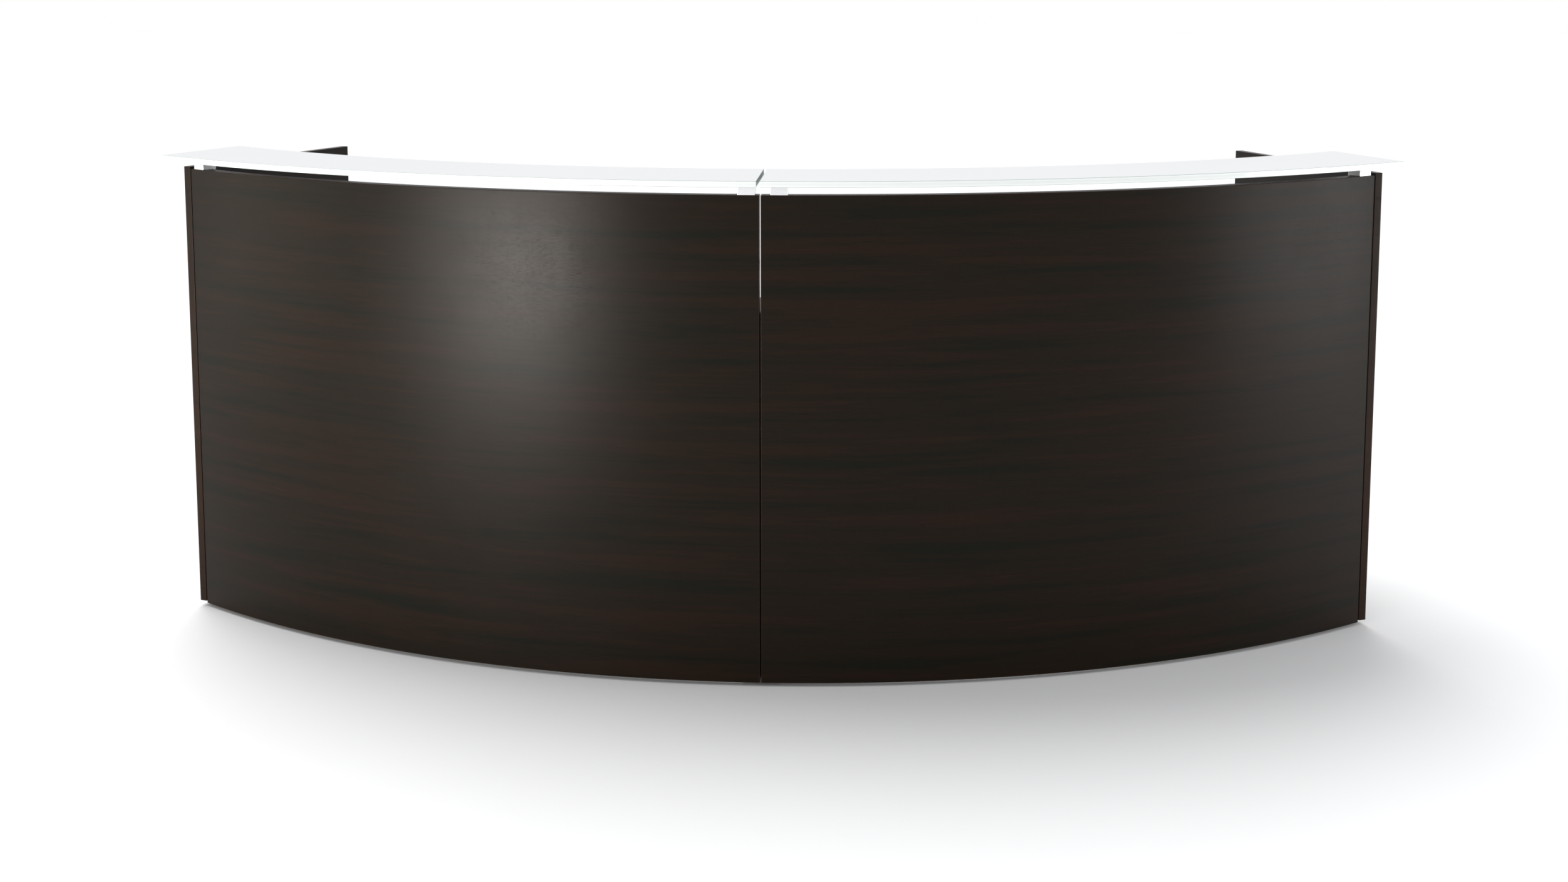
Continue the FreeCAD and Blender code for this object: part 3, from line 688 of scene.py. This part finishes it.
def grain_finish(name, vector_from, cool, warm, shine, streak_width=0.030, waviness=0.02):
    """Wood grain: two tones in long streaks, darker pores, a satin film, rubbed edges painted
    paler as wear and as a painted highlight.
    """
    made, tree, shader = new_finish(name)
    where = vector_from(tree)
    grain = placed(tree, wood_grain, Vector=where, Streak_Width=streak_width,
                   Waviness=waviness)
    marks = placed(tree, handling_marks, Vector=where, Size=0.22)["Mask"]
    wear_and_highlight = placed(tree, edge_wear_and_highlight, Radius=0.0012, Break_Up=0.6)["Mask"]
    dust = placed(tree, settled_dust, Amount=0.05)["Mask"]
    shaded = add(tree, "VectorMath", {"operation": "SCALE"})
    wire(tree, shaded.inputs[0], mix(tree, grain["Streaks"], rgba(cool), rgba(warm)))
    feed(tree, shaded, Scale=spread(tree, grain["Lines"], 0, 1, 0.78, 1.16))
    pored = mix(tree, times(tree, grain["Pores"], 0.55), shaded.outputs[0], rgba(cool, 0.35))
    # Edges painted in a paler warm tone: partly wear, partly a painted highlight.
    rubbed_and_highlit = mix(tree, times(tree, wear_and_highlight, 0.35), pored, rgba(warm, 2.6))
    rough = plus(tree, shine, times(tree, grain["Pores"], 0.10))
    feed(tree, shader, Base_Color=mix(tree, dust, rubbed_and_highlit, (0.30, 0.29, 0.27, 1)),
         Roughness=plus(tree, rough, times(tree, marks, 0.06)), Specular_IOR_Level=0.09)
    bump(tree, shader, grain["Height"], 0.00006, 0.35)
    return made


def from_grain_map(tree):
    return add(tree, "UVMap", {"uv_map": "grain"}).outputs["UV"]


def upright_grain(tree):
    """Object coordinates with the grain running upwards."""
    x, y, z = split(tree, on_object(tree))
    return united(tree, z, plus(tree, x, y), y)


def espresso_laminate(name):
    return grain_finish(name, from_grain_map, finishes().laminate_cool,
                        finishes().laminate_warm, 0.30)


def espresso_edging(name):
    cool, warm = ([c * share for c in finishes().edging_tone] for share in (0.75, 1.25))
    return grain_finish(name, from_grain_map, cool, warm, 0.32, 0.006, 0.004)


def stained_timber(name):
    return grain_finish(name, upright_grain, finishes().timber_dark,
                        finishes().timber_light, 0.48, 0.008, 0.012)


def white_glass(name):
    """White paint under a clear polished face, with faint smudges."""
    made, tree, shader = new_finish(name)
    face = finishes().glass_face
    where = on_object(tree)
    marks = placed(tree, handling_marks, Vector=where, Size=0.12)["Mask"]
    dust = placed(tree, settled_dust, Amount=0.05)["Mask"]
    paint = spread(tree, noise(tree, where, 2.2, 3.0), 0.35, 0.65)
    tone = mix(tree, paint, rgba(face), rgba(face, 0.975))
    feed(tree, shader, Base_Color=mix(tree, dust, tone, (0.62, 0.61, 0.58, 1)),
         Roughness=spread(tree, marks, 0, 1, 0.025, 0.10), Coat_Weight=0.6,
         Coat_Roughness=0.01)
    bump(tree, shader, noise(tree, where, 3.0, 1.0), 0.0004, 0.25)
    return made


def polished_glass_edge(name):
    """The polished edge: greener and deeper towards the middle of the thickness."""
    made, tree, shader = new_finish(name)
    edge = finishes().glass_edge
    where = on_object(tree)
    low, high = node_height("glass_top_right")
    from_middle = maths(tree, "SUBTRACT", split(tree, where)["Z"], (low + high) / 2)
    depth = spread(tree, maths(tree, "ABSOLUTE", from_middle), 0, (high - low) / 2)
    clouds = noise(tree, stretched(tree, where, (9.0, 9.0, 160.0)), 1.0, 3.0)
    tone = mix(tree, depth, rgba(edge, 0.86), rgba(edge))
    paler = mix(tree, spread(tree, clouds, 0.3, 0.7, 0, 0.25), tone, rgba(finishes().glass_face))
    wear_and_highlight = placed(tree, edge_wear_and_highlight, Radius=0.0008, Break_Up=0.3)["Mask"]
    # Worn edges painted paler: partly chipped wear, partly a painted highlight.
    feed(tree, shader, Base_Color=mix(tree, times(tree, wear_and_highlight, 0.5), paler, (0.9, 0.93, 0.92, 1)),
         Roughness=spread(tree, clouds, 0.3, 0.7, 0.05, 0.14), Coat_Weight=0.5)
    return made


def ground_edge_and_seam_shade(name):
    """The matt, fine-ground arris where the green of the glass shows; on the seam ends the same
    dark colour is painted shade in the gap between the panes.
    """
    made, tree, shader = new_finish(name)
    ground_and_shade = finishes().glass_ground_and_seam_shade
    where = on_object(tree)
    clouds = spread(tree, noise(tree, where, 60.0, 3.0), 0.3, 0.7)
    grit = noise(tree, where, 2600.0, 2.0)
    feed(tree, shader, Base_Color=mix(tree, clouds, rgba(ground_and_shade, 0.8), rgba(ground_and_shade)),
         Roughness=spread(tree, grit, 0.3, 0.7, 0.30, 0.42))
    bump(tree, shader, grit, 0.00003, 0.4)
    return made


def satin_aluminium(name):
    made, tree, shader = new_finish(name)
    metal = finishes().aluminium
    where = on_object(tree)
    brushed = placed(tree, brushed_lines, Vector=where, Fineness=2400.0)
    wear_and_highlight = placed(tree, edge_wear_and_highlight, Radius=0.0012, Break_Up=0.4)["Mask"]
    marks = placed(tree, handling_marks, Vector=where, Size=0.03)["Mask"]
    tone = mix(tree, brushed["Tone"], rgba(metal, 0.86), rgba(metal))
    rough = spread(tree, brushed["Tone"], 0, 1, 0.34, 0.24)
    # Edges painted paler: partly wear, partly a painted highlight.
    feed(tree, shader, Base_Color=mix(tree, wear_and_highlight, tone, (0.93, 0.93, 0.93, 1)),
         Roughness=plus(tree, rough, times(tree, marks, 0.08)), Metallic=1.0)
    bump(tree, shader, brushed["Height"], 0.00004, 0.5)
    return made


def zinc_plated_steel(name):
    """Plated steel: a faint crystalline spangle with cooler and warmer patches."""
    made, tree, shader = new_finish(name)
    metal = finishes().zinc
    where = on_object(tree)
    spangle = add(tree, "TexVoronoi", None, Vector=where, Scale=210.0, Randomness=1.0)
    flake = add(tree, "SeparateColor", None, Color=spangle.outputs["Color"]).outputs["Red"]
    brushed = placed(tree, brushed_lines, Vector=where, Fineness=900.0)
    wear_and_highlight = placed(tree, edge_wear_and_highlight, Radius=0.0008, Break_Up=0.5)["Mask"]
    tone = mix(tree, flake, rgba(metal, 0.8), rgba(metal))
    patches = spread(tree, noise(tree, where, 24.0, 2.0), 0.4, 0.7, 0, 0.35)
    passivated = mix(tree, patches, tone, (0.62, 0.60, 0.50, 1))
    rough = spread(tree, flake, 0, 1, 0.34, 0.46)
    # Edges painted paler: partly wear, partly a painted highlight.
    feed(tree, shader, Base_Color=mix(tree, wear_and_highlight, passivated, (0.80, 0.80, 0.80, 1)),
         Roughness=plus(tree, rough, times(tree, brushed["Tone"], 0.06)), Metallic=1.0)
    bump(tree, shader, brushed["Height"], 0.00003, 0.4)
    return made


def clear_pad(name):
    """Soft clear plastic, slightly cloudy."""
    made, tree, shader = new_finish(name)
    cloud = noise(tree, on_object(tree), 160.0, 3.0)
    feed(tree, shader, Base_Color=mix(tree, cloud, (0.90, 0.92, 0.93, 1), (0.80, 0.83, 0.84, 1)),
         Roughness=spread(tree, cloud, 0.3, 0.7, 0.18, 0.34), Transmission_Weight=0.7, IOR=1.45)
    return made


def black_plastic(name):
    """Moulded plastic with a fine spark-eroded texture."""
    made, tree, shader = new_finish(name)
    black = finishes().plastic
    where = on_object(tree)
    texture = noise(tree, where, 1800.0, 3.0, 0.6)
    wear_and_highlight = placed(tree, edge_wear_and_highlight, Radius=0.0008, Break_Up=0.6)["Mask"]
    dust = placed(tree, settled_dust, Amount=0.10)["Mask"]
    tone = mix(tree, noise(tree, where, 60.0, 3.0), rgba(black), rgba(black, 1.5))
    # Edges painted paler: partly wear, partly a painted highlight.
    rubbed_and_highlit = mix(tree, times(tree, wear_and_highlight, 0.5), tone, (0.07, 0.07, 0.07, 1))
    feed(tree, shader, Base_Color=mix(tree, dust, rubbed_and_highlit, (0.26, 0.25, 0.24, 1)),
         Roughness=spread(tree, texture, 0.3, 0.7, 0.38, 0.52))
    bump(tree, shader, texture, 0.00005, 0.6)
    return made


def pale_floor(name):
    made, tree, shader = new_finish(name)
    patches = noise(tree, on_object(tree), 0.9, 4.0)
    paler = [min(c * 1.02, 1) for c in finishes().floor]
    feed(tree, shader, Base_Color=mix(tree, patches, rgba(finishes().floor), rgba(paler)),
         Roughness=spread(tree, patches, 0.3, 0.7, 0.55, 0.62), Specular_IOR_Level=0.2)
    return made


def finish(make):
    name = own_name(make)
    return bpy.data.materials.get(name) or make(name)


def board_finishes():
    return finish(espresso_laminate), finish(espresso_edging)


# ---- pieces -------------------------------------------------------------------------------
def front_panel():
    """A curved board, mitred against the gable, with a tongue behind the shadow line."""
    size = boards()
    bottom, top = node_height("curved_panel_right")
    back = size.face_radius - size.panel_thickness
    panel = curved_board(size.face_radius, back, bottom, top, BLANK_START,
                         size.half_angle + PANEL_SPARE)
    seam = ALONG * (size.seam_gap / 2)
    mitre = gable_point(0, -size.reveal_width)
    saw(panel, seam, -ALONG)
    saw(panel, mitre, outwards())
    ease(panel, size.ease)
    band(panel, ((UP * top, UP), (UP * bottom, -UP),
                 (seam, -ALONG)))
    tongue = slab(gable_point(size.reveal_depth, -size.reveal_width, bottom),
                  (outwards() * size.reveal_width,
                   backwards() * (size.panel_thickness - size.reveal_depth), UP * (top - bottom)))
    join(panel, tongue)
    return panel


class COUNTER_OT_front_panels(bpy.types.Operator):
    """Build the two curved front panels"""
    bl_idname = "counter.front_panels"
    bl_label = "Front panels"

    def execute(self, context):
        centre = arc_centre()
        for side, sign in SIDES:
            panel = handed(front_panel(), sign)
            lay_grain(panel,
                      lambda p: boards().face_radius * math.atan2(p.x, centre.y - p.y),
                      lambda p: p.z + math.hypot(p.x, p.y - centre.y))
            piece("front_panel_" + side, panel, board_finishes(),
                  stands_for=["curved_panel_" + side])
        return {"FINISHED"}


class COUNTER_OT_gables(bpy.types.Operator):
    """Build the two end gables"""
    bl_idname = "counter.gables"
    bl_label = "Gables"

    def execute(self, context):
        size = boards()
        bottom, top = node_height("gable_right")
        for side, sign in SIDES:
            board = slab(gable_point(0, 0, bottom),
                         (backwards() * size.gable_length, outwards() * size.gable_thickness,
                          UP * (top - bottom)))
            ease(board, size.ease)
            band(board, ((gable_point(0, 0), -backwards()),
                         (gable_point(size.gable_length, 0), backwards()),
                         (UP * top, UP), (UP * bottom, -UP)))
            corner, along, out = gable_point(0, 0), backwards(), outwards()
            lay_grain(board, lambda p: (p - corner).dot(along) + GABLE_GRAIN,
                      lambda p: p.z + (p - corner).dot(out))
            piece("end_gable_" + side, handed(board, sign), board_finishes(),
                  stands_for=["gable_" + side])
        return {"FINISHED"}


def worktop():
    """A curved shelf board, notched round the seam batten and bored for the grommet."""
    size = boards()
    bottom, top = node_height("worktop_right")
    outer = size.face_radius - size.panel_thickness - size.worktop_fit
    board = curved_board(outer, size.worktop_rear, bottom, top, BLANK_START,
                         size.half_angle + WORKTOP_SPARE)
    seam = ALONG * size.worktop_fit
    end = gable_point(0, -size.worktop_fit)
    saw(board, seam, -ALONG)
    saw(board, end, outwards())
    ease(board, size.ease)
    batten_low, batten_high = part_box("seam_batten")
    notch_low = Vector((-size.batten_width, batten_low.y - size.panel_thickness, bottom - PAST))
    notch_high = Vector((batten_high.x + size.worktop_fit, batten_high.y + size.worktop_fit,
                         top + PAST))
    board = cut_away(board, straight_board(notch_low, notch_high))
    hole = node_middle("grommet_ring_right")
    board = cut_away(board, round_rod(fittings().grommet_hole, hole, bottom - PAST, top + PAST))
    staff_edge = size.worktop_rear + size.edging
    centre = arc_centre()
    for face in board.faces:
        middle = face.calc_center_median()
        if math.hypot(middle.x, middle.y - centre.y) < staff_edge:
            face.material_index = EDGING
    return board


class COUNTER_OT_worktops(bpy.types.Operator):
    """Build the two curved worktops"""
    bl_idname = "counter.worktops"
    bl_label = "Worktops"

    def execute(self, context):
        centre = arc_centre()
        for side, sign in SIDES:
            board = handed(worktop(), sign)
            lay_grain(board, lambda p: p.x + WORKTOP_GRAIN, lambda p: p.z + p.y)
            layer = board.loops.layers.uv["grain"]
            for face in board.faces:
                if face.material_index == EDGING:
                    for loop in face.loops:
                        p = loop.vert.co
                        loop[layer].uv = (boards().worktop_rear * math.atan2(
                            p.x, centre.y - p.y), p.z + p.y)
            piece("shelf_worktop_" + side, board, board_finishes(),
                  stands_for=["worktop_" + side])
        return {"FINISHED"}


class COUNTER_OT_uprights(bpy.types.Operator):
    """Build the inner uprights and the batten behind the seam"""
    bl_idname = "counter.uprights"
    bl_label = "Uprights and batten"

    def execute(self, context):
        size = boards()
        for side, sign in SIDES:
            low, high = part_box("inner_support_" + side)
            board = straight_board(low, high)
            ease(board, size.ease)
            band(board, ((low, Vector((0, -1, 0))), (high, Vector((0, 1, 0))), (low, -UP)))
            lay_grain(board, lambda p: p.y + UPRIGHT_GRAIN * sign, lambda p: p.z + p.x)
            piece("upright_" + side, board, board_finishes(),
                  stands_for=["inner_support_" + side])
        batten = straight_board(*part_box("seam_batten"))
        ease(batten, 3 * size.ease, 3)
        piece("batten", batten, [finish(stained_timber)],
              stands_for=["seam_batten"])
        return {"FINISHED"}


def pane():
    size = glass()
    bottom, top = node_height("glass_top_right")
    front = boards().face_radius + size.overhang
    rear = front - size.depth
    end = gable_point(0, boards().gable_thickness + size.end_overhang)
    sheet = curved_board(front, rear, bottom, top, BLANK_START,
                         boards().half_angle + PANE_SPARE)
    saw(sheet, ALONG * (size.gap / 2), -ALONG)
    saw(sheet, end, outwards())
    centre = arc_centre()

    def is_rear_corner(edge):
        a, b = (vert.co for vert in edge.verts)
        near_rear = math.hypot(a.x, a.y - centre.y) < rear + size.arris
        stands = abs(a.z - b.z) > (top - bottom) / 2
        return stands and near_rear and a.x > size.gap and is_sharp(edge)

    ease(sheet, size.rear_corner, 10, is_rear_corner)
    ease(sheet, size.arris, 3)
    upright = 0.1
    for face in sheet.faces:
        level = abs(face.normal.z)
        at_seam = face.normal.x < -LEVEL
        face.material_index = FACE if level > LEVEL else POLISHED
        # The seam ends take the dark ground colour as painted shade in the gap between the panes.
        if upright < level < LEVEL or at_seam:
            face.material_index = GROUND_AND_SEAM_SHADE
    return sheet


class COUNTER_OT_glass_panes(bpy.types.Operator):
    """Build the two white glass panes"""
    bl_idname = "counter.glass_panes"
    bl_label = "Glass panes"

    def execute(self, context):
        glass_finishes = [finish(make) for make in (white_glass, polished_glass_edge,
                                                    ground_edge_and_seam_shade)]
        for side, sign in SIDES:
            piece("glass_pane_" + side, handed(pane(), sign), glass_finishes,
                  stands_for=["glass_top_" + side])
        return {"FINISHED"}


def standoff_block(turn):
    """A block on the panel's top edge with a leg down its back, turned to its place."""
    size = glass()
    half = size.block_width / 2
    radius = boards().face_radius
    panel_top = node_height("curved_panel_right")[1]
    block_top = node_height("glass_top_right")[0] - size.pad
    front = -math.sqrt(radius ** 2 - half ** 2)
    rear = front + boards().panel_thickness + size.leg_plate
    outline = ((front, panel_top), (front, block_top), (front + size.block_depth, block_top),
               (front + size.block_depth, panel_top), (rear, panel_top),
               (rear, panel_top - size.leg_drop),
               (rear - size.leg_plate, panel_top - size.leg_drop),
               (rear - size.leg_plate, panel_top))
    centre = arc_centre()
    bm = prism([centre + Vector((-half, y, z)) for y, z in outline], (size.block_width, 0, 0))
    ease(bm, size.arris, 3)
    bmesh.ops.rotate(bm, cent=centre, matrix=Matrix.Rotation(turn, 3, "Z"), verts=bm.verts)
    return bm


class COUNTER_OT_standoffs(bpy.types.Operator):
    """Build the metal blocks that carry the glass"""
    bl_idname = "counter.standoffs"
    bl_label = "Standoffs"

    def execute(self, context):
        size = glass()
        half = size.block_width / 2
        radius = boards().face_radius
        places = {
            "seam_standoff_left": -math.asin((size.seam_left + half) / radius),
            "seam_standoff_right": math.asin((size.seam_right + half) / radius),
            "end_standoff_left": -size.end_angle,
            "end_standoff_right": size.end_angle,
        }
        for node, turn in places.items():
            piece("block_" + node, standoff_block(turn), [finish(satin_aluminium)],
                  stands_for=[node])
        return {"FINISHED"}


def grommet_ring(centre, bottom, top):
    size = fittings()
    inner = size.grommet_hole - size.grommet_wall
    rim = top + size.flange_height
    seat = rim - size.cap_thickness - size.cap_lift
    ledge = inner - size.ledge
    ledge_bottom = seat - size.ledge_height
    barrel = size.grommet_hole - size.ring_fit
    flange = size.grommet_flange
    fine, lip = size.fine_edge, size.ring_lip
    profile = ((barrel, bottom), (barrel, top), (flange, top), (flange, rim - 3 * fine),
               (flange - fine, rim - fine), (flange - 3 * fine, rim), (inner + lip, rim),
               (inner, rim - lip), (inner, seat), (ledge, seat), (ledge, ledge_bottom),
               (inner, ledge_bottom), (inner, bottom))
    return lathe(profile, Vector((centre.x, centre.y, 0)), 72, closed=True)


def grommet_cap(centre, top):
    """A disc with a cable slot open to the staff side."""
    size = fittings()
    inner = size.grommet_hole - size.grommet_wall
    radius = inner - size.cap_gap
    bottom = top - size.cap_thickness
    edge, bend = size.cap_edge, size.cap_bend
    profile = ((0, bottom), (radius, bottom), (radius, top - edge),
               (radius - bend, top - bend), (radius - edge, top), (0, top))
    disc = lathe(profile, Vector((centre.x, centre.y, 0)), 72)
    middle = centre + Vector((0, inner - size.slot_inset, 0))
    steps = 16
    half_turn = [middle + Vector((math.cos(t), -math.sin(t), 0)) * size.cap_slot
                 for t in (math.pi * i / steps for i in range(steps + 1))]
    to_staff = Vector((0, inner, 0))
    mouth = [half_turn[-1] + to_staff, half_turn[0] + to_staff]
    slot = upright_prism(half_turn + mouth, bottom - PAST, top + PAST)
    return cut_away(disc, slot)


class COUNTER_OT_grommets(bpy.types.Operator):
    """Build the cable grommets and their turning caps"""
    bl_idname = "counter.grommets"
    bl_label = "Cable grommets"

    def execute(self, context):
        bottom, top = node_height("worktop_right")
        for side, _ in SIDES:
            centre = node_middle("grommet_ring_" + side)
            cap_top = node_height("grommet_cap_" + side)[1]
            plastic = [finish(black_plastic)]
            piece("ring_" + side, grommet_ring(centre, bottom, top), plastic,
                  stands_for=["grommet_ring_" + side])
            piece("cap_" + side, grommet_cap(centre, cap_top), plastic,
                  body="grommet_cap_" + side, stands_for=["grommet_cap_" + side])
        return {"FINISHED"}


def glide_foot(node):
    size = fittings()
    centre = node_middle(node)
    base = Vector((centre.x, centre.y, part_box(node)[0].z))
    r, h = size.foot_radius, size.foot_height
    bore = size.stud_radius + size.bore_gap
    fine, rim, curve = size.fine_edge, size.foot_rim, size.foot_edge
    profile = ((0, 0), (r - rim, 0), (r, rim), (r, h - curve), (r - rim, h - size.foot_bend),
               (r - curve, h), (bore + fine, h), (bore, h - fine), (bore, size.foot_floor),
               (0, size.foot_floor))
    return lathe(profile, base, 48)


def threaded(centre, radius, bottom, top):
    """A screw thread: one tooth spun upwards turn by turn, then sawn to length."""
    size = fittings()
    pitch = size.thread_pitch
    turns = math.ceil((top - bottom) / pitch) + 2
    per_turn = 24
    root = radius - size.thread_depth
    start = bottom - pitch
    bm = bmesh.new()
    tooth = ((root, start), (radius, start + pitch / 2), (root, start + pitch))
    points, lines = drawn(bm, tooth, centre)
    bmesh.ops.spin(bm, geom=points + lines, cent=centre, axis=UP, angle=math.tau * turns,
                   steps=per_turn * turns, dvec=UP * pitch / per_turn, use_merge=False)
    bmesh.ops.remove_doubles(bm, verts=bm.verts, dist=ONE_POINT)
    saw(bm, UP * bottom, -UP)
    saw(bm, UP * top, UP)
    return bm


def glide_stud(node):
    """A plain shank in the foot, a hexagon nut and the thread above it."""
    size = fittings()
    low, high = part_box(node)
    centre = Vector(((low.x + high.x) / 2, (low.y + high.y) / 2, 0))
    nut_bottom = low.z + size.foot_height - size.foot_floor
    nut_top = nut_bottom + size.nut_height
    corner = size.nut_flats / math.sqrt(3)
    nut = round_rod(corner, centre, nut_bottom, nut_top, 6)
    ease(nut, size.nut_edge, 2)
    r, fine = size.stud_radius, size.fine_edge
    join(nut, lathe(((0, low.z), (r - fine, low.z), (r, low.z + fine), (r, nut_bottom),
                     (0, nut_bottom)), centre, 32))
    join(nut, threaded(centre, r, nut_top, high.z))
    return nut


class COUNTER_OT_glides(bpy.types.Operator):
    """Build the levelling glides: plastic feet and threaded studs"""
    bl_idname = "counter.glides"
    bl_label = "Levelling glides"

    def execute(self, context):
        for side, _ in SIDES:
            for spot in ("gable_front", "gable_rear", "support_front", "support_rear"):
                foot = "%s_glide_foot_%s" % (spot, side)
                stud = "%s_glide_stud_%s" % (spot, side)
                piece("foot_%s_%s" % (spot, side), glide_foot(foot), [finish(black_plastic)],
                      body=foot, stands_for=[foot])
                piece("stud_%s_%s" % (spot, side), glide_stud(stud),
                      [finish(zinc_plated_steel)], body=stud, stands_for=[stud])
        return {"FINISHED"}


class COUNTER_OT_hardware(bpy.types.Operator):
    """Give the screws, brackets, cleats, bolts, pads and blocks their finishes"""
    bl_idname = "counter.hardware"
    bl_label = "Hardware finishes"

    def execute(self, context):
        both = ("right", "left")
        steel = ["batten_screws", "joining_bolts", "joining_sleeves", "standoff_screws"]
        for kind in ("gable_cleat", "support_cleat", "worktop_brackets", "bracket_screws",
                     "glide_inserts"):
            steel.extend("%s_%s" % (kind, side) for side in both)
        dressed = {zinc_plated_steel: steel, clear_pad: ["glass_pads"],
                   stained_timber: ["corner_blocks_" + side for side in both]}
        for make, nodes in dressed.items():
            for node in nodes:
                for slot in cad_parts[node].material_slots:
                    slot.material = finish(make)
        return {"FINISHED"}


# ---- stage --------------------------------------------------------------------------------
def lamp(name, kind, where, target, energy, tint=(1, 1, 1)):
    light = bpy.data.lights.new(name, kind)
    light.energy = energy
    light.color = tint
    made = put(name, light)
    made.location = where
    made.rotation_euler = (Vector(target) - Vector(where)).to_track_quat("-Z", "Y").to_euler()
    made.visible_camera = False
    return light


def soft_panel(name, where, target, energy, width, height, tint=(1, 1, 1)):
    """A rectangular lamp."""
    light = lamp(name, "AREA", where, target, energy, tint)
    light.shape = "RECTANGLE"
    light.size = width
    light.size_y = height
    return light


def studio_sky():
    """Even white all round: dimmest as a light, brighter in mirrors, full white when seen."""
    world = bpy.data.worlds.new("studio sky")
    bpy.context.scene.world = world
    world.use_nodes = True
    tree = world.node_tree
    paths = add(tree, "LightPath").outputs
    mirrored = spread(tree, paths["Is Glossy Ray"], 0, 1, stage().sky, stage().mirrored_sky)
    strength = spread(tree, paths["Is Camera Ray"], 0, 1, mirrored, 1.0)
    tone = mix(tree, paths["Is Camera Ray"], (0.97, 0.98, 1.0, 1), (1, 1, 1, 1))
    sky = add(tree, "Background", None, Color=tone, Strength=strength)
    wire(tree, tree.nodes["World Output"].inputs["Surface"], sky.outputs[0])


class COUNTER_OT_stage(bpy.types.Operator):
    """Set up the floor, the soft lights and the camera"""
    bl_idname = "counter.stage"
    bl_label = "Stage"

    def execute(self, context):
        setting = stage()
        bm = bmesh.new()
        bmesh.ops.create_grid(bm, x_segments=8, y_segments=8, size=setting.floor_size / 2)
        floor = put("floor", mesh_of(bm, "floor"))
        floor.data.materials.append(finish(pale_floor))
        studio_sky()
        overhead = lamp("overhead", "SUN", setting.overhead_place, (0, 0, 0),
                        setting.overhead)
        overhead.angle = setting.overhead_angle
        highlight = soft_panel("highlight", setting.highlight_place, setting.highlight_aim,
                               setting.highlight, setting.highlight_width,
                               setting.highlight_height, setting.highlight_tint)
        highlight.spread = setting.highlight_angle
        to_left = Vector((-1, 1, 1))
        soft_panel("left side", setting.side_place * to_left, setting.side_aim * to_left,
                   setting.left_fill, setting.side_width, setting.side_height,
                   setting.left_tint)
        soft_panel("right side", setting.side_place, setting.side_aim, setting.right_fill,
                   setting.side_width, setting.side_height)
        camera = put("camera", bpy.data.cameras.new("camera"))
        camera.location = setting.camera_place
        camera.rotation_euler = (math.pi / 2 - setting.camera_tilt, 0, setting.camera_turn)
        camera.data.lens = setting.lens
        camera.data.shift_y = setting.shift
        camera.data.clip_end = setting.floor_size
        context.scene.camera = camera
        context.scene.view_settings.view_transform = "Standard"
        return {"FINISHED"}


PIECE_OPERATORS = (
    COUNTER_OT_front_panels,
    COUNTER_OT_gables,
    COUNTER_OT_worktops,
    COUNTER_OT_uprights,
    COUNTER_OT_glass_panes,
    COUNTER_OT_standoffs,
    COUNTER_OT_grommets,
    COUNTER_OT_glides,
    COUNTER_OT_hardware,
    COUNTER_OT_stage,
)
SETTINGS = {
    "counter_boards": COUNTER_PG_boards,
    "counter_glass": COUNTER_PG_glass,
    "counter_fittings": COUNTER_PG_fittings,
    "counter_finishes": COUNTER_PG_finishes,
    "counter_stage": COUNTER_PG_stage,
}


class COUNTER_PT_panel(bpy.types.Panel):
    """Lists the counter's pieces and their settings"""
    bl_idname = "COUNTER_PT_panel"
    bl_label = "Checkout counter"
    bl_space_type = "VIEW_3D"
    bl_region_type = "UI"
    bl_category = "Counter"

    def draw(self, context):
        for operator in PIECE_OPERATORS:
            self.layout.operator(operator.bl_idname)
        for group_name, group in SETTINGS.items():
            box = self.layout.box()
            for key in group.__annotations__:
                box.prop(getattr(context.scene, group_name), key)


CLASSES = (*SETTINGS.values(), *PIECE_OPERATORS, COUNTER_PT_panel)


def register():
    for one in CLASSES:
        bpy.utils.register_class(one)
    for name, group in SETTINGS.items():
        setattr(bpy.types.Scene, name, PointerProperty(type=group))


def unregister():
    for name in SETTINGS:
        delattr(bpy.types.Scene, name)
    for one in reversed(CLASSES):
        bpy.utils.unregister_class(one)


def main():
    register()
    for operator in PIECE_OPERATORS:
        group, name = operator.bl_idname.split(".")
        getattr(getattr(bpy.ops, group), name)()


if __name__ == "__main__":
    main()
